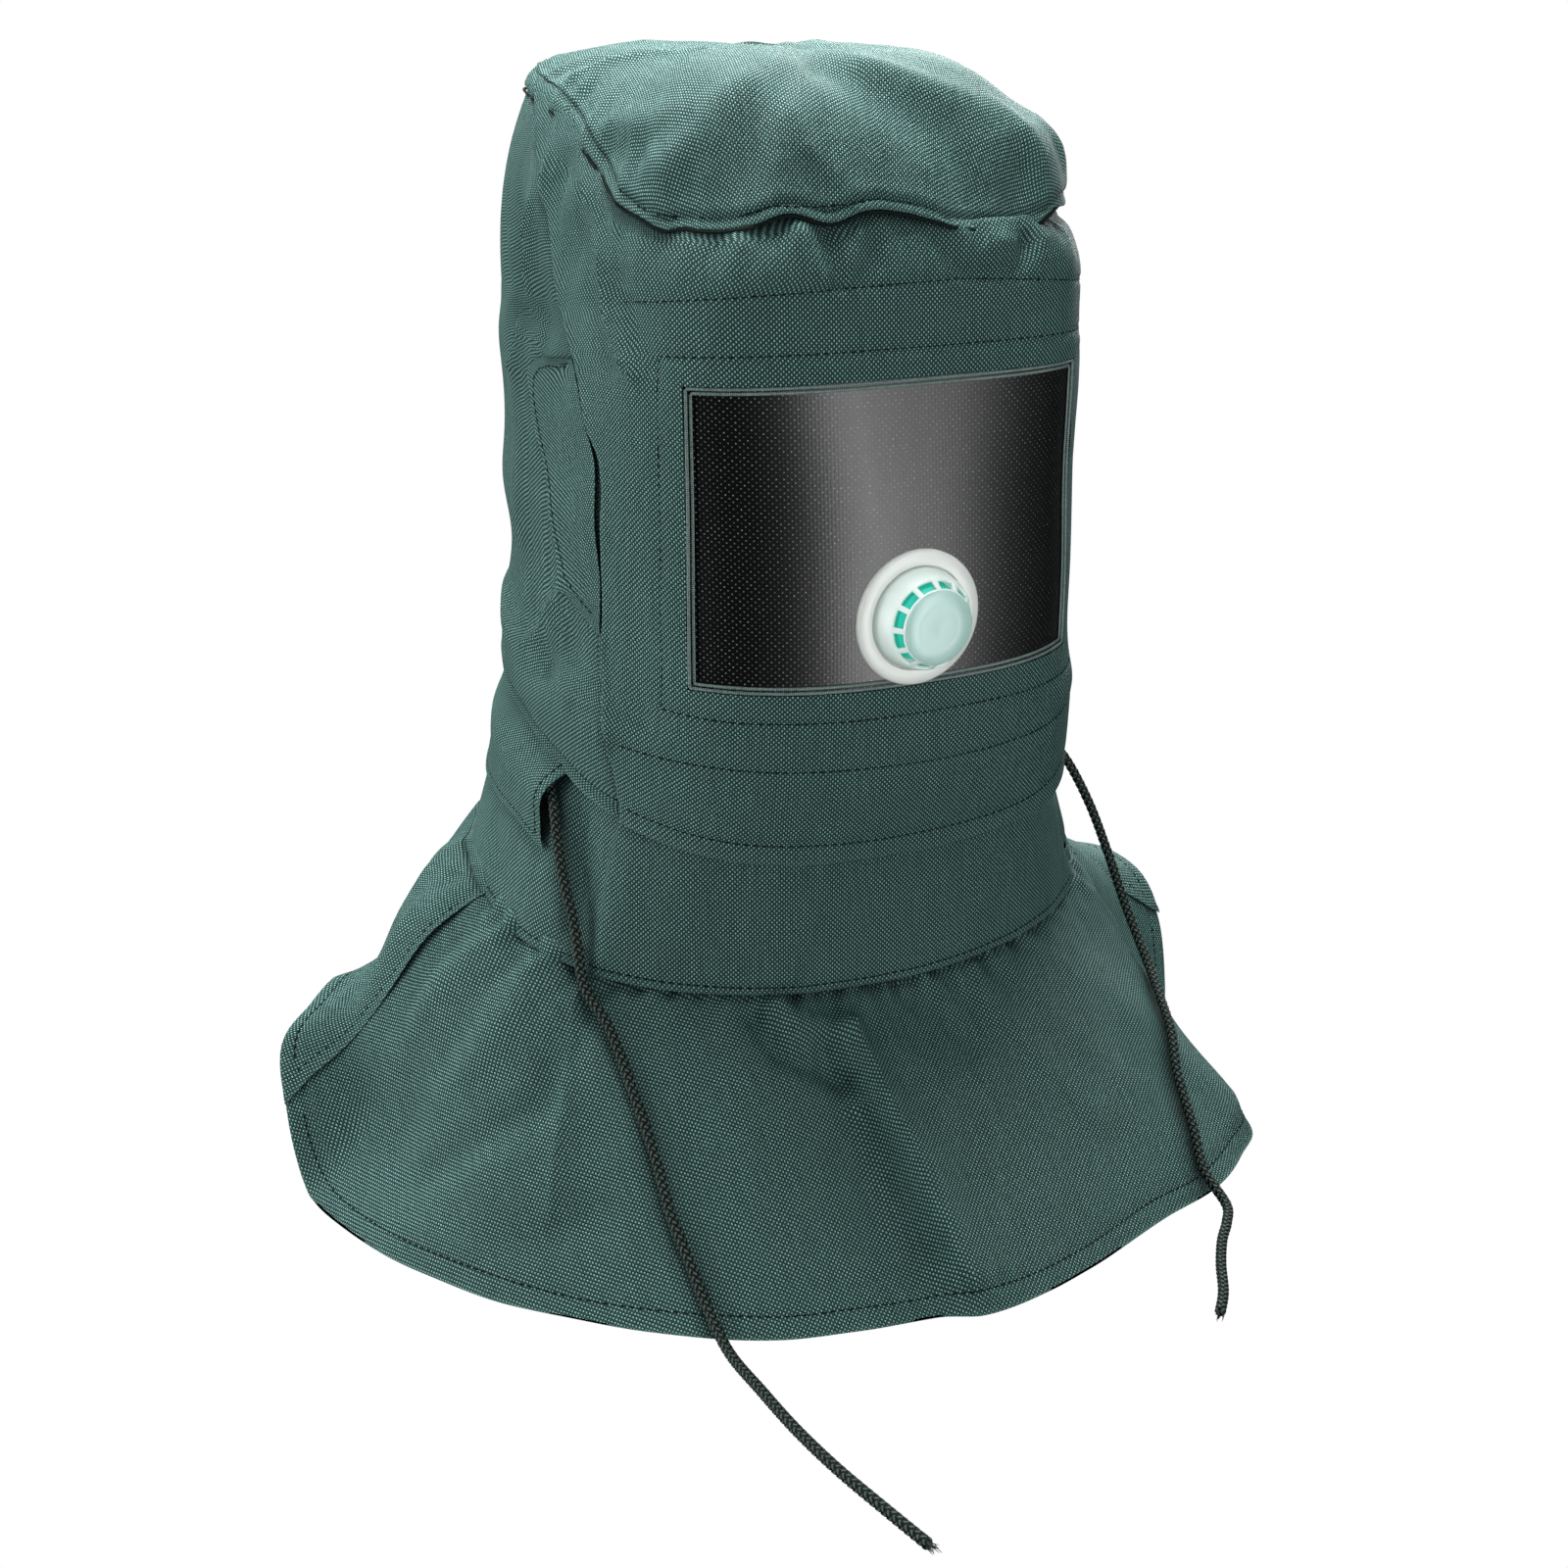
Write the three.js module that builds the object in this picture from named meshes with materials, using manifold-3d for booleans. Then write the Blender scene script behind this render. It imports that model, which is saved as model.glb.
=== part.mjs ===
// Sandblasting hood: a loose cloth hood with a shoulder cape, a curved visor and a breathing valve.
// Millimetres. +Z up, the surface it stands on at z = 0, front of the hood towards -Y,
// the wearer's right towards -X. Angles run round the hood from the front, positive towards +X.

import * as THREE from "three";
import { mergeVertices } from "three/addons/utils/BufferGeometryUtils.js";
import Module from "manifold-3d";

const CLOTH = 1.2;          // wall of one layer of coated cloth
const GAP = 0.3;            // clearance between neighbouring pieces
const LAYER = CLOTH + GAP;  // one layer further in or out
const HEM_WIDTH = 3.0;      // doubled cloth that the cape stands on
const LAP = 5;              // degrees that one cloth runs under its neighbour
const APEX_HEIGHT = 531;
const CROWN_FULLNESS = 5.0;
const CROWN_SHIFT = 5;      // apex lies this far behind the axis
const CROWN_LIP = 6;        // height of the crown's turned edge over the body

// Body of the hood: rounded rings from the hood hem (level 0) to the brow stitching (level 6).
// z is taken on the axis; tilt is its rise per mm of y in front of the axis, rearTilt behind it.
const BODY = [
  { level: 0, z: 216, halfWidth: 134, front: 126, back: 141, tilt: 0.31, rearTilt: 0.31, square: 2.61 },
  { level: 1, z: 241, halfWidth: 136, front: 137, back: 140, tilt: 0.12, rearTilt: 0.29, square: 2.42 },
  { level: 2, z: 262, halfWidth: 128, front: 138, back: 140, tilt: 0.05, rearTilt: 0.25, square: 2.6 },
  { level: 3, z: 300, halfWidth: 124, front: 137, back: 145, tilt: 0, rearTilt: 0.2, square: 2.8 },
  { level: 4, z: 350, halfWidth: 123, front: 134, back: 147, tilt: 0, rearTilt: 0.13, square: 2.9 },
  { level: 5, z: 396, halfWidth: 120, front: 130, back: 145, tilt: -0.03, rearTilt: 0.06, square: 3.4 },
  { level: 6, z: 421, halfWidth: 115, front: 128, back: 140, tilt: -0.1, rearTilt: 0.02, square: 3.8 },
];
const BROW_LEVEL = 6;
const SEAM_LEVEL = 7;
const SEAM_RING = { halfWidth: 112, front: 120, back: 128, square: 3.0 };
const SEAM_HEIGHT = [
  { angle: 0, z: 463 },
  { angle: 45, z: 464 },
  { angle: 60, z: 468 },
  { angle: 75, z: 484 },
  { angle: 90, z: 500 },
  { angle: 110, z: 514 },
  { angle: 135, z: 520 },
  { angle: 180, z: 522 },
];
// How far the crown seam is drawn in on the wearer's right.
const SEAM_PULL = [
  { angle: -180, pull: 0 },
  { angle: -150, pull: 6 },
  { angle: -130, pull: 11 },
  { angle: -100, pull: 13 },
  { angle: -80, pull: 10 },
  { angle: -68, pull: 5 },
  { angle: -56, pull: 0 },
  { angle: -40, pull: 0 },
  { angle: 180, pull: 0 },
];
// Soft bulges of the crown, outward along its surface.
const CROWN_BULGES = [
  { angle: 50, rise: 0.05, spread: 19, reach: 0.065, height: 16 },
  { angle: -40, rise: 0.3, spread: 20, reach: 0.25, height: 3 },
];

// Rear edge of the front panel on each side, by level.
const SIDE_SEAM = [
  { level: 0, angle: 60 },
  { level: 1, angle: 62 },
  { level: 2.5, angle: 65.2 },
  { level: 3.4, angle: 65.8 },
  { level: 4.15, angle: 66.8 },
  { level: 4.45, angle: 71 },
  { level: 5.3, angle: 81 },
  { level: 6.45, angle: 98.5 },
  { level: 7, angle: 123 },
];

// Window of the visor, in degrees and levels of the body.
const WINDOW = { right: -45.1, left: 39, bottom: 2.17, top: 4.97 };
const VISOR_MARGIN = 5;          // degrees behind the cloth on both sides
const VISOR_MARGIN_LEVELS = 0.3;
const VISOR_WALL = 1.0;
const VISOR_DEPTH = 2.0;         // its outer face, below the outer face of the cloth
const BINDING_WIDTH = 3.5;
const BINDING_WALL = 0.8;

// Ear patch on each side: an upright oval cut off by the side seam.
const EAR = { rear: 104, bottom: 2.62, top: 5.05, wall: 1.0, lift: 0.5, clear: 2.0 };

// Neck: where the cape is sewn on, and the upper end below the hood hem.
const NECK_SEAM = { z: 132.7, halfWidth: 160, front: 116, back: 152, tilt: 0.21, square: 2.13 };
const NECK_TOP = { z: 226, halfWidth: 125.5, front: 116, back: 132, tilt: 0.31, square: 2.5 };
const CHANNEL = { mouth: 80, bottom: 0.45, top: 0.96 };

// Lower edge of the cape, once round.
const HEM = [
  { angle: -180, radius: 246, z: 0 },
  { angle: -160, radius: 240, z: 0 },
  { angle: -140, radius: 231, z: 24 },
  { angle: -122, radius: 231, z: 60 },
  { angle: -110, radius: 234, z: 80 },
  { angle: -104, radius: 246, z: 76 },
  { angle: -99, radius: 263, z: 66 },
  { angle: -94.5, radius: 266, z: 38 },
  { angle: -90.5, radius: 264, z: 5 },
  { angle: -87, radius: 263, z: 0 },
  { angle: -75, radius: 257, z: 0 },
  { angle: -62, radius: 252, z: 0 },
  { angle: -42, radius: 248, z: 0 },
  { angle: -28, radius: 247, z: 0 },
  { angle: -20, radius: 242, z: 0 },
  { angle: -11, radius: 239, z: 0 },
  { angle: -6, radius: 245, z: 0 },
  { angle: 3, radius: 240, z: 0 },
  { angle: 9, radius: 236, z: 0 },
  { angle: 20, radius: 231, z: 0 },
  { angle: 26, radius: 232, z: 0 },
  { angle: 34, radius: 241, z: 0 },
  { angle: 44, radius: 246, z: 0 },
  { angle: 50, radius: 250, z: 0 },
  { angle: 57, radius: 242, z: 0 },
  { angle: 68, radius: 233, z: 0 },
  { angle: 77, radius: 235, z: 0 },
  { angle: 86, radius: 241, z: 0 },
  { angle: 90, radius: 254, z: 6 },
  { angle: 94.5, radius: 263, z: 40 },
  { angle: 99, radius: 262, z: 66 },
  { angle: 105, radius: 249, z: 78 },
  { angle: 122, radius: 231, z: 60 },
  { angle: 140, radius: 231, z: 24 },
  { angle: 160, radius: 240, z: 0 },
  { angle: 180, radius: 246, z: 0 },
];
const CAPE_SEAM = 95;       // degrees to the side seams of the cape
// Folds that run down the cape: angle at the neck, halfway and at the hem; height outward.
const FOLDS = [
  { neck: -18, middle: -10, hem: -5.2, width: 4.5, height: 9, start: 0.1 },
  { neck: -18, middle: -15, hem: -12, width: 4, height: -8, start: 0.12 },
  { neck: 70, middle: 63, hem: 50, width: 7, height: 6, start: 0.0 },
  { neck: 84, middle: 79, hem: 69, width: 8, height: -9, start: 0.15 },
  { neck: -70, middle: -68, hem: -66, width: 6, height: 4, start: 0.0 },
  { neck: -84, middle: -90, hem: -93, width: 4, height: 3, start: 0.0 },
];
// How far the flank of the cape hangs in from a straight line, by angle.
const FLANK_SAG = [
  { angle: -180, sag: 4 },
  { angle: -130, sag: 6 },
  { angle: -105, sag: 2 },
  { angle: -90, sag: 1 },
  { angle: 0, sag: 0 },
  { angle: 90, sag: 3 },
  { angle: 105, sag: 10 },
  { angle: 130, sag: 12 },
  { angle: 180, sag: 4 },
];

// Exhalation valve: turned profiles about its own axis.
const VALVE_SEGMENTS = 26;
const VALVE = {
  x: -6, z: 294, tilt: 2.2, standoff: 135.9,
  neckRadius: 19, holeRadius: 20, gasketRadius: 26, gasket: 2.6, flangeRadius: 31, flangeTop: 5.2,
  domeRadius: 24, domeFoot: 25.2, capRadius: 18.5, domeHeight: 24, capThickness: 2.2,
  slots: 12, slotWidth: 5.6, slotBottom: 18.0, slotTop: 21.4, membraneRadius: 17, wall: 1.6,
};

const CORD_RADIUS = 2.5;
const CORD_LIFT = 2.8;      // centre of a cord over the outer face it lies on
const CORD_SIDES = 6;
const CORD_STEPS = 44;
// Cord on the wearer's right: from the channel's mouth down the neck band and the cape to the floor.
const LONG_RUN = [
  { on: "neck", angle: -79.2, at: 0.68 },
  { on: "neck", angle: -76.6, at: 0.571 },
  { on: "neck", angle: -73.1, at: 0.418 },
  { on: "neck", angle: -68.5, at: 0.204 },
  { on: "cape", angle: -64.2, at: 0.05 },
  { on: "cape", angle: -58.2, at: 0.14 },
  { on: "cape", angle: -54, at: 0.236 },
  { on: "cape", angle: -49.5, at: 0.364 },
  { on: "cape", angle: -45.2, at: 0.507 },
  { on: "cape", angle: -41.5, at: 0.671 },
  { on: "cape", angle: -38.5, at: 0.79 },
  { on: "cape", angle: -35.8, at: 0.914 },
  { on: "floor", x: -141, y: -217 },
  { on: "floor", x: -142, y: -251 },
  { on: "floor", x: -142, y: -282 },
  { on: "floor", x: -140, y: -312 },
  { on: "floor", x: -136, y: -343 },
  { on: "floor", x: -132, y: -371 },
];
// Cord on the wearer's left: it stands off the flank, then lies over the fold in front of it.
const SHORT_RUN = [
  { on: "neck", angle: 79.2, at: 0.68 },
  { on: "air", x: 152, y: -30, z: 173 },
  { on: "air", x: 164, y: -37, z: 148 },
  { on: "air", x: 171, y: -47, z: 121 },
  { on: "air", x: 175, y: -60, z: 94 },
  { on: "cape", angle: 63, at: 0.43 },
  { on: "cape", angle: 56, at: 0.49 },
  { on: "cape", angle: 50, at: 0.55 },
  { on: "cape", angle: 44, at: 0.65 },
  { on: "cape", angle: 38, at: 0.8 },
  { on: "cape", angle: 34, at: 0.92 },
  { on: "floor", x: 128, y: -216 },
  { on: "floor", x: 118, y: -229 },
  { on: "floor", x: 106, y: -241 },
  { on: "floor", x: 92, y: -258 },
  { on: "floor", x: 77, y: -279 },
  { on: "floor", x: 65, y: -292 },
];

const GREEN = new THREE.Color(0.055, 0.13, 0.115);

const rad = (degrees) => (degrees * Math.PI) / 180;
const mix = (a, b, w) => a + (b - a) * w;
const clamp = (x, low, high) => Math.min(Math.max(x, low), high);
const bell = (x, width) => Math.exp(-(x * x) / (2 * width * width));

/** Smooth value of a column of a table, for the key x. */
function along(table, key, column, x) {
  const last = table.length - 1;
  const at = clamp(x, table[0][key], table[last][key]);
  let i = 0;
  while (i < last - 1 && at > table[i + 1][key]) {
    i += 1;
  }
  const slope = (j) => {
    const low = Math.max(j - 1, 0);
    const high = Math.min(j + 1, last);
    return (table[high][column] - table[low][column]) / (table[high][key] - table[low][key]);
  };
  const span = table[i + 1][key] - table[i][key];
  const s = (at - table[i][key]) / span;
  const s2 = s * s;
  const s3 = s2 * s;
  return (
    (2 * s3 - 3 * s2 + 1) * table[i][column] +
    (s3 - 2 * s2 + s) * span * slope(i) +
    (3 * s2 - 2 * s3) * table[i + 1][column] +
    (s3 - s2) * span * slope(i + 1)
  );
}

/** Point of a rounded ring at an angle from the front. */
function ringPoint(angle, ring, z, tilt) {
  const side = Math.sin(rad(angle));
  const ahead = Math.cos(rad(angle));
  const depth = ahead > 0 ? ring.front : ring.back;
  const radius =
    (Math.abs(side / ring.halfWidth) ** ring.square + Math.abs(ahead / depth) ** ring.square) **
    (-1 / ring.square);
  const y = -radius * ahead;
  return new THREE.Vector3(radius * side, y, z + tilt * y);
}

function seamPoint(angle) {
  const point = ringPoint(angle, SEAM_RING, along(SEAM_HEIGHT, "angle", "z", Math.abs(angle)), 0);
  point.x += along(SEAM_PULL, "angle", "pull", angle);
  return point;
}

function bodyPoint(angle, level) {
  const low = Math.min(level, BROW_LEVEL);
  const ring = {};
  for (const name of ["halfWidth", "front", "back", "square", "z", "tilt", "rearTilt"]) {
    ring[name] = along(BODY, "level", name, low);
  }
  const point = ringPoint(angle, ring, ring.z, Math.abs(angle) > 90 ? ring.rearTilt : ring.tilt);
  if (level > BROW_LEVEL) {
    const seam = seamPoint(angle);
    const w = level - BROW_LEVEL;
    const inward = w ** 2.2;
    point.set(mix(point.x, seam.x, inward), mix(point.y, seam.y, inward), mix(point.z, seam.z, w));
  }
  return point;
}

/** Crown, rise 0 at its seam and 1 at the apex. */
function crownPoint(angle, rise) {
  const seam = seamPoint(angle);
  const s = 1 - rise;
  const lift = 1 - s ** CROWN_FULLNESS;
  let bulge = 0;
  for (const b of CROWN_BULGES) {
    bulge += b.height * bell(angle - b.angle, b.spread) * bell(rise - b.rise, b.reach) * Math.min(1, rise / 0.12);
  }
  const point = new THREE.Vector3(seam.x * s, seam.y * s + CROWN_SHIFT * rise, mix(seam.z, APEX_HEIGHT, lift));
  const out = new THREE.Vector3(Math.sin(rad(angle)), -Math.cos(rad(angle)), 0.5).normalize();
  return point.addScaledVector(out, bulge * s);
}

function hemPoint(angle) {
  const radius = along(HEM, "angle", "radius", angle);
  const z = Math.max(0, along(HEM, "angle", "z", angle));
  return new THREE.Vector3(radius * Math.sin(rad(angle)), -radius * Math.cos(rad(angle)), z);
}

const wrapped = (angle) => ((angle + 540) % 360) - 180;

/** Cape, fall 0 at the neck seam and 1 at the hem. */
function capePoint(angle, fall) {
  const turn = wrapped(angle);
  const top = ringPoint(turn, NECK_SEAM, NECK_SEAM.z, NECK_SEAM.tilt);
  const point = top.clone().lerp(hemPoint(turn), fall);
  let out = -along(FLANK_SAG, "angle", "sag", turn) * 4 * fall * (1 - fall);
  for (const f of FOLDS) {
    const centre = fall < 0.5 ? mix(f.neck, f.middle, fall * 2) : mix(f.middle, f.hem, fall * 2 - 1);
    const rise = clamp((fall - f.start) / 0.25, 0, 1) * clamp((1 - fall) / 0.12, 0, 1);
    out += f.height * rise * bell(turn - centre, f.width);
  }
  const away = new THREE.Vector3(Math.sin(rad(turn)), -Math.cos(rad(turn)), 0.9).normalize();
  return point.addScaledVector(away, out);
}

/** Neck band, climb 0 at the cape and 1 under the hood hem. */
function neckPoint(angle, climb) {
  const turn = wrapped(angle);
  const low = ringPoint(turn, NECK_SEAM, NECK_SEAM.z, NECK_SEAM.tilt);
  return low.lerp(ringPoint(turn, NECK_TOP, NECK_TOP.z, NECK_TOP.tilt), climb);
}

/** Outward normal of a surface point(u, v); sign -1 where v runs downward. */
function normalAt(point, u, v, sign) {
  const du = point(u + 0.5, v).sub(point(u - 0.5, v));
  const dv = point(u, v + 0.004).sub(point(u, v - 0.004));
  return du.cross(dv).multiplyScalar(sign).normalize();
}

/** Cloth of outer and inner points on a grid, closed along every free edge. */
function clothFromGrid(outer, inner, isOpen, closed) {
  const columns = outer.length;
  const rows = outer[0].length;
  const positions = [];
  for (const grid of [outer, inner]) {
    for (const column of grid) {
      for (const p of column) {
        positions.push(p.x, p.y, p.z);
      }
    }
  }
  const id = (side, i, j) => side * columns * rows + (i % columns) * rows + j;
  const cells = closed ? columns : columns - 1;
  const isSolid = (i, j) => {
    if (j < 0 || j >= rows - 1) {
      return false;
    }
    if (closed) {
      return !isOpen((i + cells) % cells, j);
    }
    return i >= 0 && i < cells && !isOpen(i, j);
  };
  const index = [];
  const quad = (a, b, c, d) => index.push(a, b, c, a, c, d);
  for (let i = 0; i < cells; i += 1) {
    for (let j = 0; j < rows - 1; j += 1) {
      if (!isSolid(i, j)) {
        continue;
      }
      quad(id(0, i, j), id(0, i + 1, j), id(0, i + 1, j + 1), id(0, i, j + 1));
      quad(id(1, i, j), id(1, i, j + 1), id(1, i + 1, j + 1), id(1, i + 1, j));
      if (!isSolid(i, j - 1)) {
        quad(id(0, i, j), id(1, i, j), id(1, i + 1, j), id(0, i + 1, j));
      }
      if (!isSolid(i, j + 1)) {
        quad(id(0, i, j + 1), id(0, i + 1, j + 1), id(1, i + 1, j + 1), id(1, i, j + 1));
      }
      if (!isSolid(i - 1, j)) {
        quad(id(0, i, j), id(0, i, j + 1), id(1, i, j + 1), id(1, i, j));
      }
      if (!isSolid(i + 1, j)) {
        quad(id(0, i + 1, j), id(1, i + 1, j), id(1, i + 1, j + 1), id(0, i + 1, j + 1));
      }
    }
  }
  const used = new Set(index);
  const renumber = new Map();
  const kept = [];
  for (const k of used) {
    renumber.set(k, kept.length / 3);
    kept.push(positions[3 * k], positions[3 * k + 1], positions[3 * k + 2]);
  }
  const geometry = new THREE.BufferGeometry();
  geometry.setAttribute("position", new THREE.Float32BufferAttribute(kept, 3));
  geometry.setIndex(index.map((k) => renumber.get(k)));
  return geometry;
}

/** Cloth on a surface: columns of angles, rows of levels, outer face at lift. */
function cloth(point, angles, levels, options) {
  const { lift = 0, wall = CLOTH, sign = 1, closed = false, isOpen = () => false } = options;
  const outer = [];
  const inner = [];
  for (const u of angles) {
    const rowOut = [];
    const rowIn = [];
    for (const v of levels) {
      const angle = typeof u === "function" ? u(v) : u;
      const level = typeof v === "function" ? v(angle) : v;
      const n = normalAt(point, angle, level, sign);
      const p = point(angle, level);
      const height = typeof lift === "function" ? lift(outer.length) : lift;
      rowOut.push(p.clone().addScaledVector(n, height));
      rowIn.push(p.clone().addScaledVector(n, height - wall));
    }
    outer.push(rowOut);
    inner.push(rowIn);
  }
  return { outer, inner, geometry: () => clothFromGrid(outer, inner, isOpen, closed) };
}

function piece(name, geometry, color, roughness) {
  const material = new THREE.MeshStandardMaterial({ color, roughness, metalness: 0, side: THREE.FrontSide });
  const mesh = new THREE.Mesh(geometry, material);
  mesh.name = name;
  return mesh;
}

function steps(from, to, count) {
  const list = [];
  for (let i = 0; i <= count; i += 1) {
    list.push(mix(from, to, i / count));
  }
  return list;
}

const ROUND = steps(-180, 172.5, 47);
const within = (from, to) => ROUND.filter((a) => a > from + 1 && a < to - 1);

const sideSeam = (level) => along(SIDE_SEAM, "level", "angle", level);

// Front panel: its columns spread from one side seam to the other and keep the window's edges.
const WINDOW_COLUMNS = 10;
const CHEEK_COLUMNS = 6;
const FRONT_LEVELS = [0, 0.5, 1, 1.6, 2.17, 2.7, 3.3, 3.9, 4.45, 4.97, 5.5, 6, 6.4, 6.75, 7];
function frontColumns() {
  const columns = [];
  for (let i = 0; i < CHEEK_COLUMNS; i += 1) {
    columns.push((level) => mix(-sideSeam(level), WINDOW.right, i / CHEEK_COLUMNS));
  }
  for (const angle of steps(WINDOW.right, WINDOW.left, WINDOW_COLUMNS)) {
    columns.push(() => angle);
  }
  for (let i = 1; i <= CHEEK_COLUMNS; i += 1) {
    columns.push((level) => mix(WINDOW.left, sideSeam(level), i / CHEEK_COLUMNS));
  }
  return columns;
}
const bottomRow = FRONT_LEVELS.indexOf(WINDOW.bottom);
const topRow = FRONT_LEVELS.indexOf(WINDOW.top);
const inWindow = (i, j) =>
  i >= CHEEK_COLUMNS && i < CHEEK_COLUMNS + WINDOW_COLUMNS && j >= bottomRow && j < topRow;
const frontPanel = cloth(bodyPoint, frontColumns(), FRONT_LEVELS, { isOpen: inWindow });

// Back panel: from under one edge of the front panel round to the other.
const BACK_COLUMNS = 17;
const LAP_DEPTH = [1.3, 1.1, 0.4]; // the back panel sinks this far where the front panel covers it
const backColumns = [-LAP, LAP * 0.2, ...steps(1, BACK_COLUMNS - 1, BACK_COLUMNS - 2), -LAP * 0.2, LAP]
  .map((place, i) => (level) => {
    const start = sideSeam(level);
    if (i < 2) {
      return start + place;
    }
    if (i > BACK_COLUMNS) {
      return 360 - start + place;
    }
    return mix(start, 360 - start, place / BACK_COLUMNS);
  });
const sunk = (i) => LAP_DEPTH[Math.min(i, backColumns.length - 1 - i)] ?? 0;
const backPoint = (angle, level) => bodyPoint(wrapped(angle), level);
const backPanel = cloth(backPoint, backColumns, FRONT_LEVELS, { lift: (i) => -LAYER - sunk(i) });

// Crown: a lip over the body, then rings to the apex.
function crownGeometry() {
  const rises = [0, 0.04, 0.12, 0.27, 0.5, 0.78];
  const lift = LAYER + 0.5;
  const outer = [];
  const inner = [];
  for (const angle of ROUND) {
    const brow = bodyPoint(angle, BROW_LEVEL);
    const seam = seamPoint(angle);
    const lipLevel = SEAM_LEVEL - CROWN_LIP / (seam.z - brow.z);
    const lipNormal = normalAt(bodyPoint, angle, lipLevel - 0.01, 1);
    const lip = bodyPoint(angle, lipLevel);
    const rowOut = [lip.clone().addScaledVector(lipNormal, lift)];
    const rowIn = [lip.clone().addScaledVector(lipNormal, lift - CLOTH)];
    for (const rise of rises) {
      const p = crownPoint(angle, rise);
      const n = normalAt(crownPoint, angle, Math.max(rise, 0.005), 1);
      rowOut.push(p.clone().addScaledVector(n, lift));
      rowIn.push(p.clone().addScaledVector(n, lift - CLOTH));
    }
    outer.push(rowOut);
    inner.push(rowIn);
  }
  const ring = clothFromGrid(outer, inner, () => false, true);
  return capped(ring, outer, inner, lift);
}

/** Closes the hole left at the apex with a fan outside and inside. */
function capped(ring, outer, inner, lift) {
  const positions = Array.from(ring.getAttribute("position").array);
  const triangles = Array.from(ring.index.array);
  const find = (p) => {
    for (let k = 0; k < positions.length; k += 3) {
      const d = Math.hypot(positions[k] - p.x, positions[k + 1] - p.y, positions[k + 2] - p.z);
      if (d < 1e-3) {
        return k / 3;
      }
    }
    throw new Error("rim point not found");
  };
  const last = outer[0].length - 1;
  const rimOut = outer.map((column) => find(column[last]));
  const rimIn = inner.map((column) => find(column[last]));
  const onRim = new Set([...rimOut, ...rimIn]);
  const kept = [];
  for (let k = 0; k < triangles.length; k += 3) {
    const corners = triangles.slice(k, k + 3);
    if (!corners.every((c) => onRim.has(c))) {
      kept.push(...corners);
    }
  }
  const apexOut = positions.length / 3;
  positions.push(0, CROWN_SHIFT, APEX_HEIGHT + lift);
  const apexIn = apexOut + 1;
  positions.push(0, CROWN_SHIFT, APEX_HEIGHT + lift - CLOTH);
  for (let i = 0; i < rimOut.length; i += 1) {
    const j = (i + 1) % rimOut.length;
    kept.push(rimOut[i], rimOut[j], apexOut);
    kept.push(rimIn[j], rimIn[i], apexIn);
  }
  const geometry = new THREE.BufferGeometry();
  geometry.setAttribute("position", new THREE.Float32BufferAttribute(positions, 3));
  geometry.setIndex(kept);
  return geometry;
}

// Ear patches: rows from the bottom to the top, rear edge rounded, front edge along the side seam.
function earPatch(side) {
  const levels = steps(EAR.bottom, EAR.top, 8);
  const middle = (EAR.bottom + EAR.top) / 2;
  const half = (EAR.top - EAR.bottom) / 2;
  const columns = steps(0, 1, 6).map((w) => (level) => {
    const front = sideSeam(level) + EAR.clear;
    const round = Math.sqrt(Math.max(0, 1 - (Math.abs(level - middle) / half) ** 2.6));
    const rear = Math.max(front + 2.5, mix(front, EAR.rear, round));
    return side * mix(front, rear, w);
  });
  const ordered = side > 0 ? columns : columns.reverse();
  return cloth(backPoint, ordered, levels, { lift: EAR.lift, wall: EAR.wall }).geometry();
}

// Neck band and the cord channel round its back.
const neckBand = cloth(neckPoint, ROUND, [0, 0.33, 0.66, 1], { closed: true });
const channelAngles = [CHANNEL.mouth, ...within(CHANNEL.mouth, 180), ...within(-181.5, -CHANNEL.mouth)
  .map((a) => a + 360), 360 - CHANNEL.mouth];
const channel = cloth(neckPoint, channelAngles, [CHANNEL.bottom, 0.7, CHANNEL.top], { lift: LAYER });

// Cape: a collar tucked inside the neck band, then the flare down to the hem.
const FALLS = [0.03, 0.12, 0.24, 0.37, 0.5, 0.63, 0.76, 0.89, 1];
function capePanel(angles, depth) {
  const outer = [];
  const inner = [];
  for (const angle of angles) {
    const rowOut = [];
    const rowIn = [];
    for (const climb of [0, 0.07]) {
      const p = neckPoint(angle, climb);
      const n = normalAt(neckPoint, angle, climb, 1);
      rowOut.push(p.clone().addScaledVector(n, -LAYER - depth));
      rowIn.push(p.clone().addScaledVector(n, -LAYER - depth - CLOTH));
    }
    for (const fall of FALLS) {
      const p = capePoint(angle, fall);
      const n = normalAt(capePoint, angle, Math.min(fall, 0.99), -1);
      const wall = fall === 1 && p.z < 0.01 ? HEM_WIDTH : CLOTH;
      const low = p.clone().addScaledVector(n, -depth - 0.4);
      const under = p.clone().addScaledVector(n, -depth - 0.4 - wall);
      if (fall === 1 && p.z < 0.01) {
        under.z = 0;
        low.z = 0;
      }
      low.z = Math.max(low.z, 0);
      under.z = Math.max(under.z, 0);
      rowOut.unshift(low);
      rowIn.unshift(under);
    }
    const collarTop = rowOut.splice(rowOut.length - 2, 2);
    rowOut.push(...collarTop);
    outer.push(rowOut);
    inner.push(rowIn);
  }
  return clothFromGrid(outer, inner, () => false, false);
}
const FRONT_CAPE = [-CAPE_SEAM - 2.5, -CAPE_SEAM, -92.5, -90, ...within(-90, -22), -19, -15, -11.25, -8, -5, -1.5, 3,
  ...within(3, 90), 90, 92.5, CAPE_SEAM, CAPE_SEAM + 2.5];
const BACK_CAPE = [CAPE_SEAM, CAPE_SEAM + 2.5, ...within(CAPE_SEAM + 2.5, 180),
  ...within(-181.5, -CAPE_SEAM - 2.5).map((a) => a + 360), 360 - CAPE_SEAM - 2.5, 360 - CAPE_SEAM];

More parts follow.
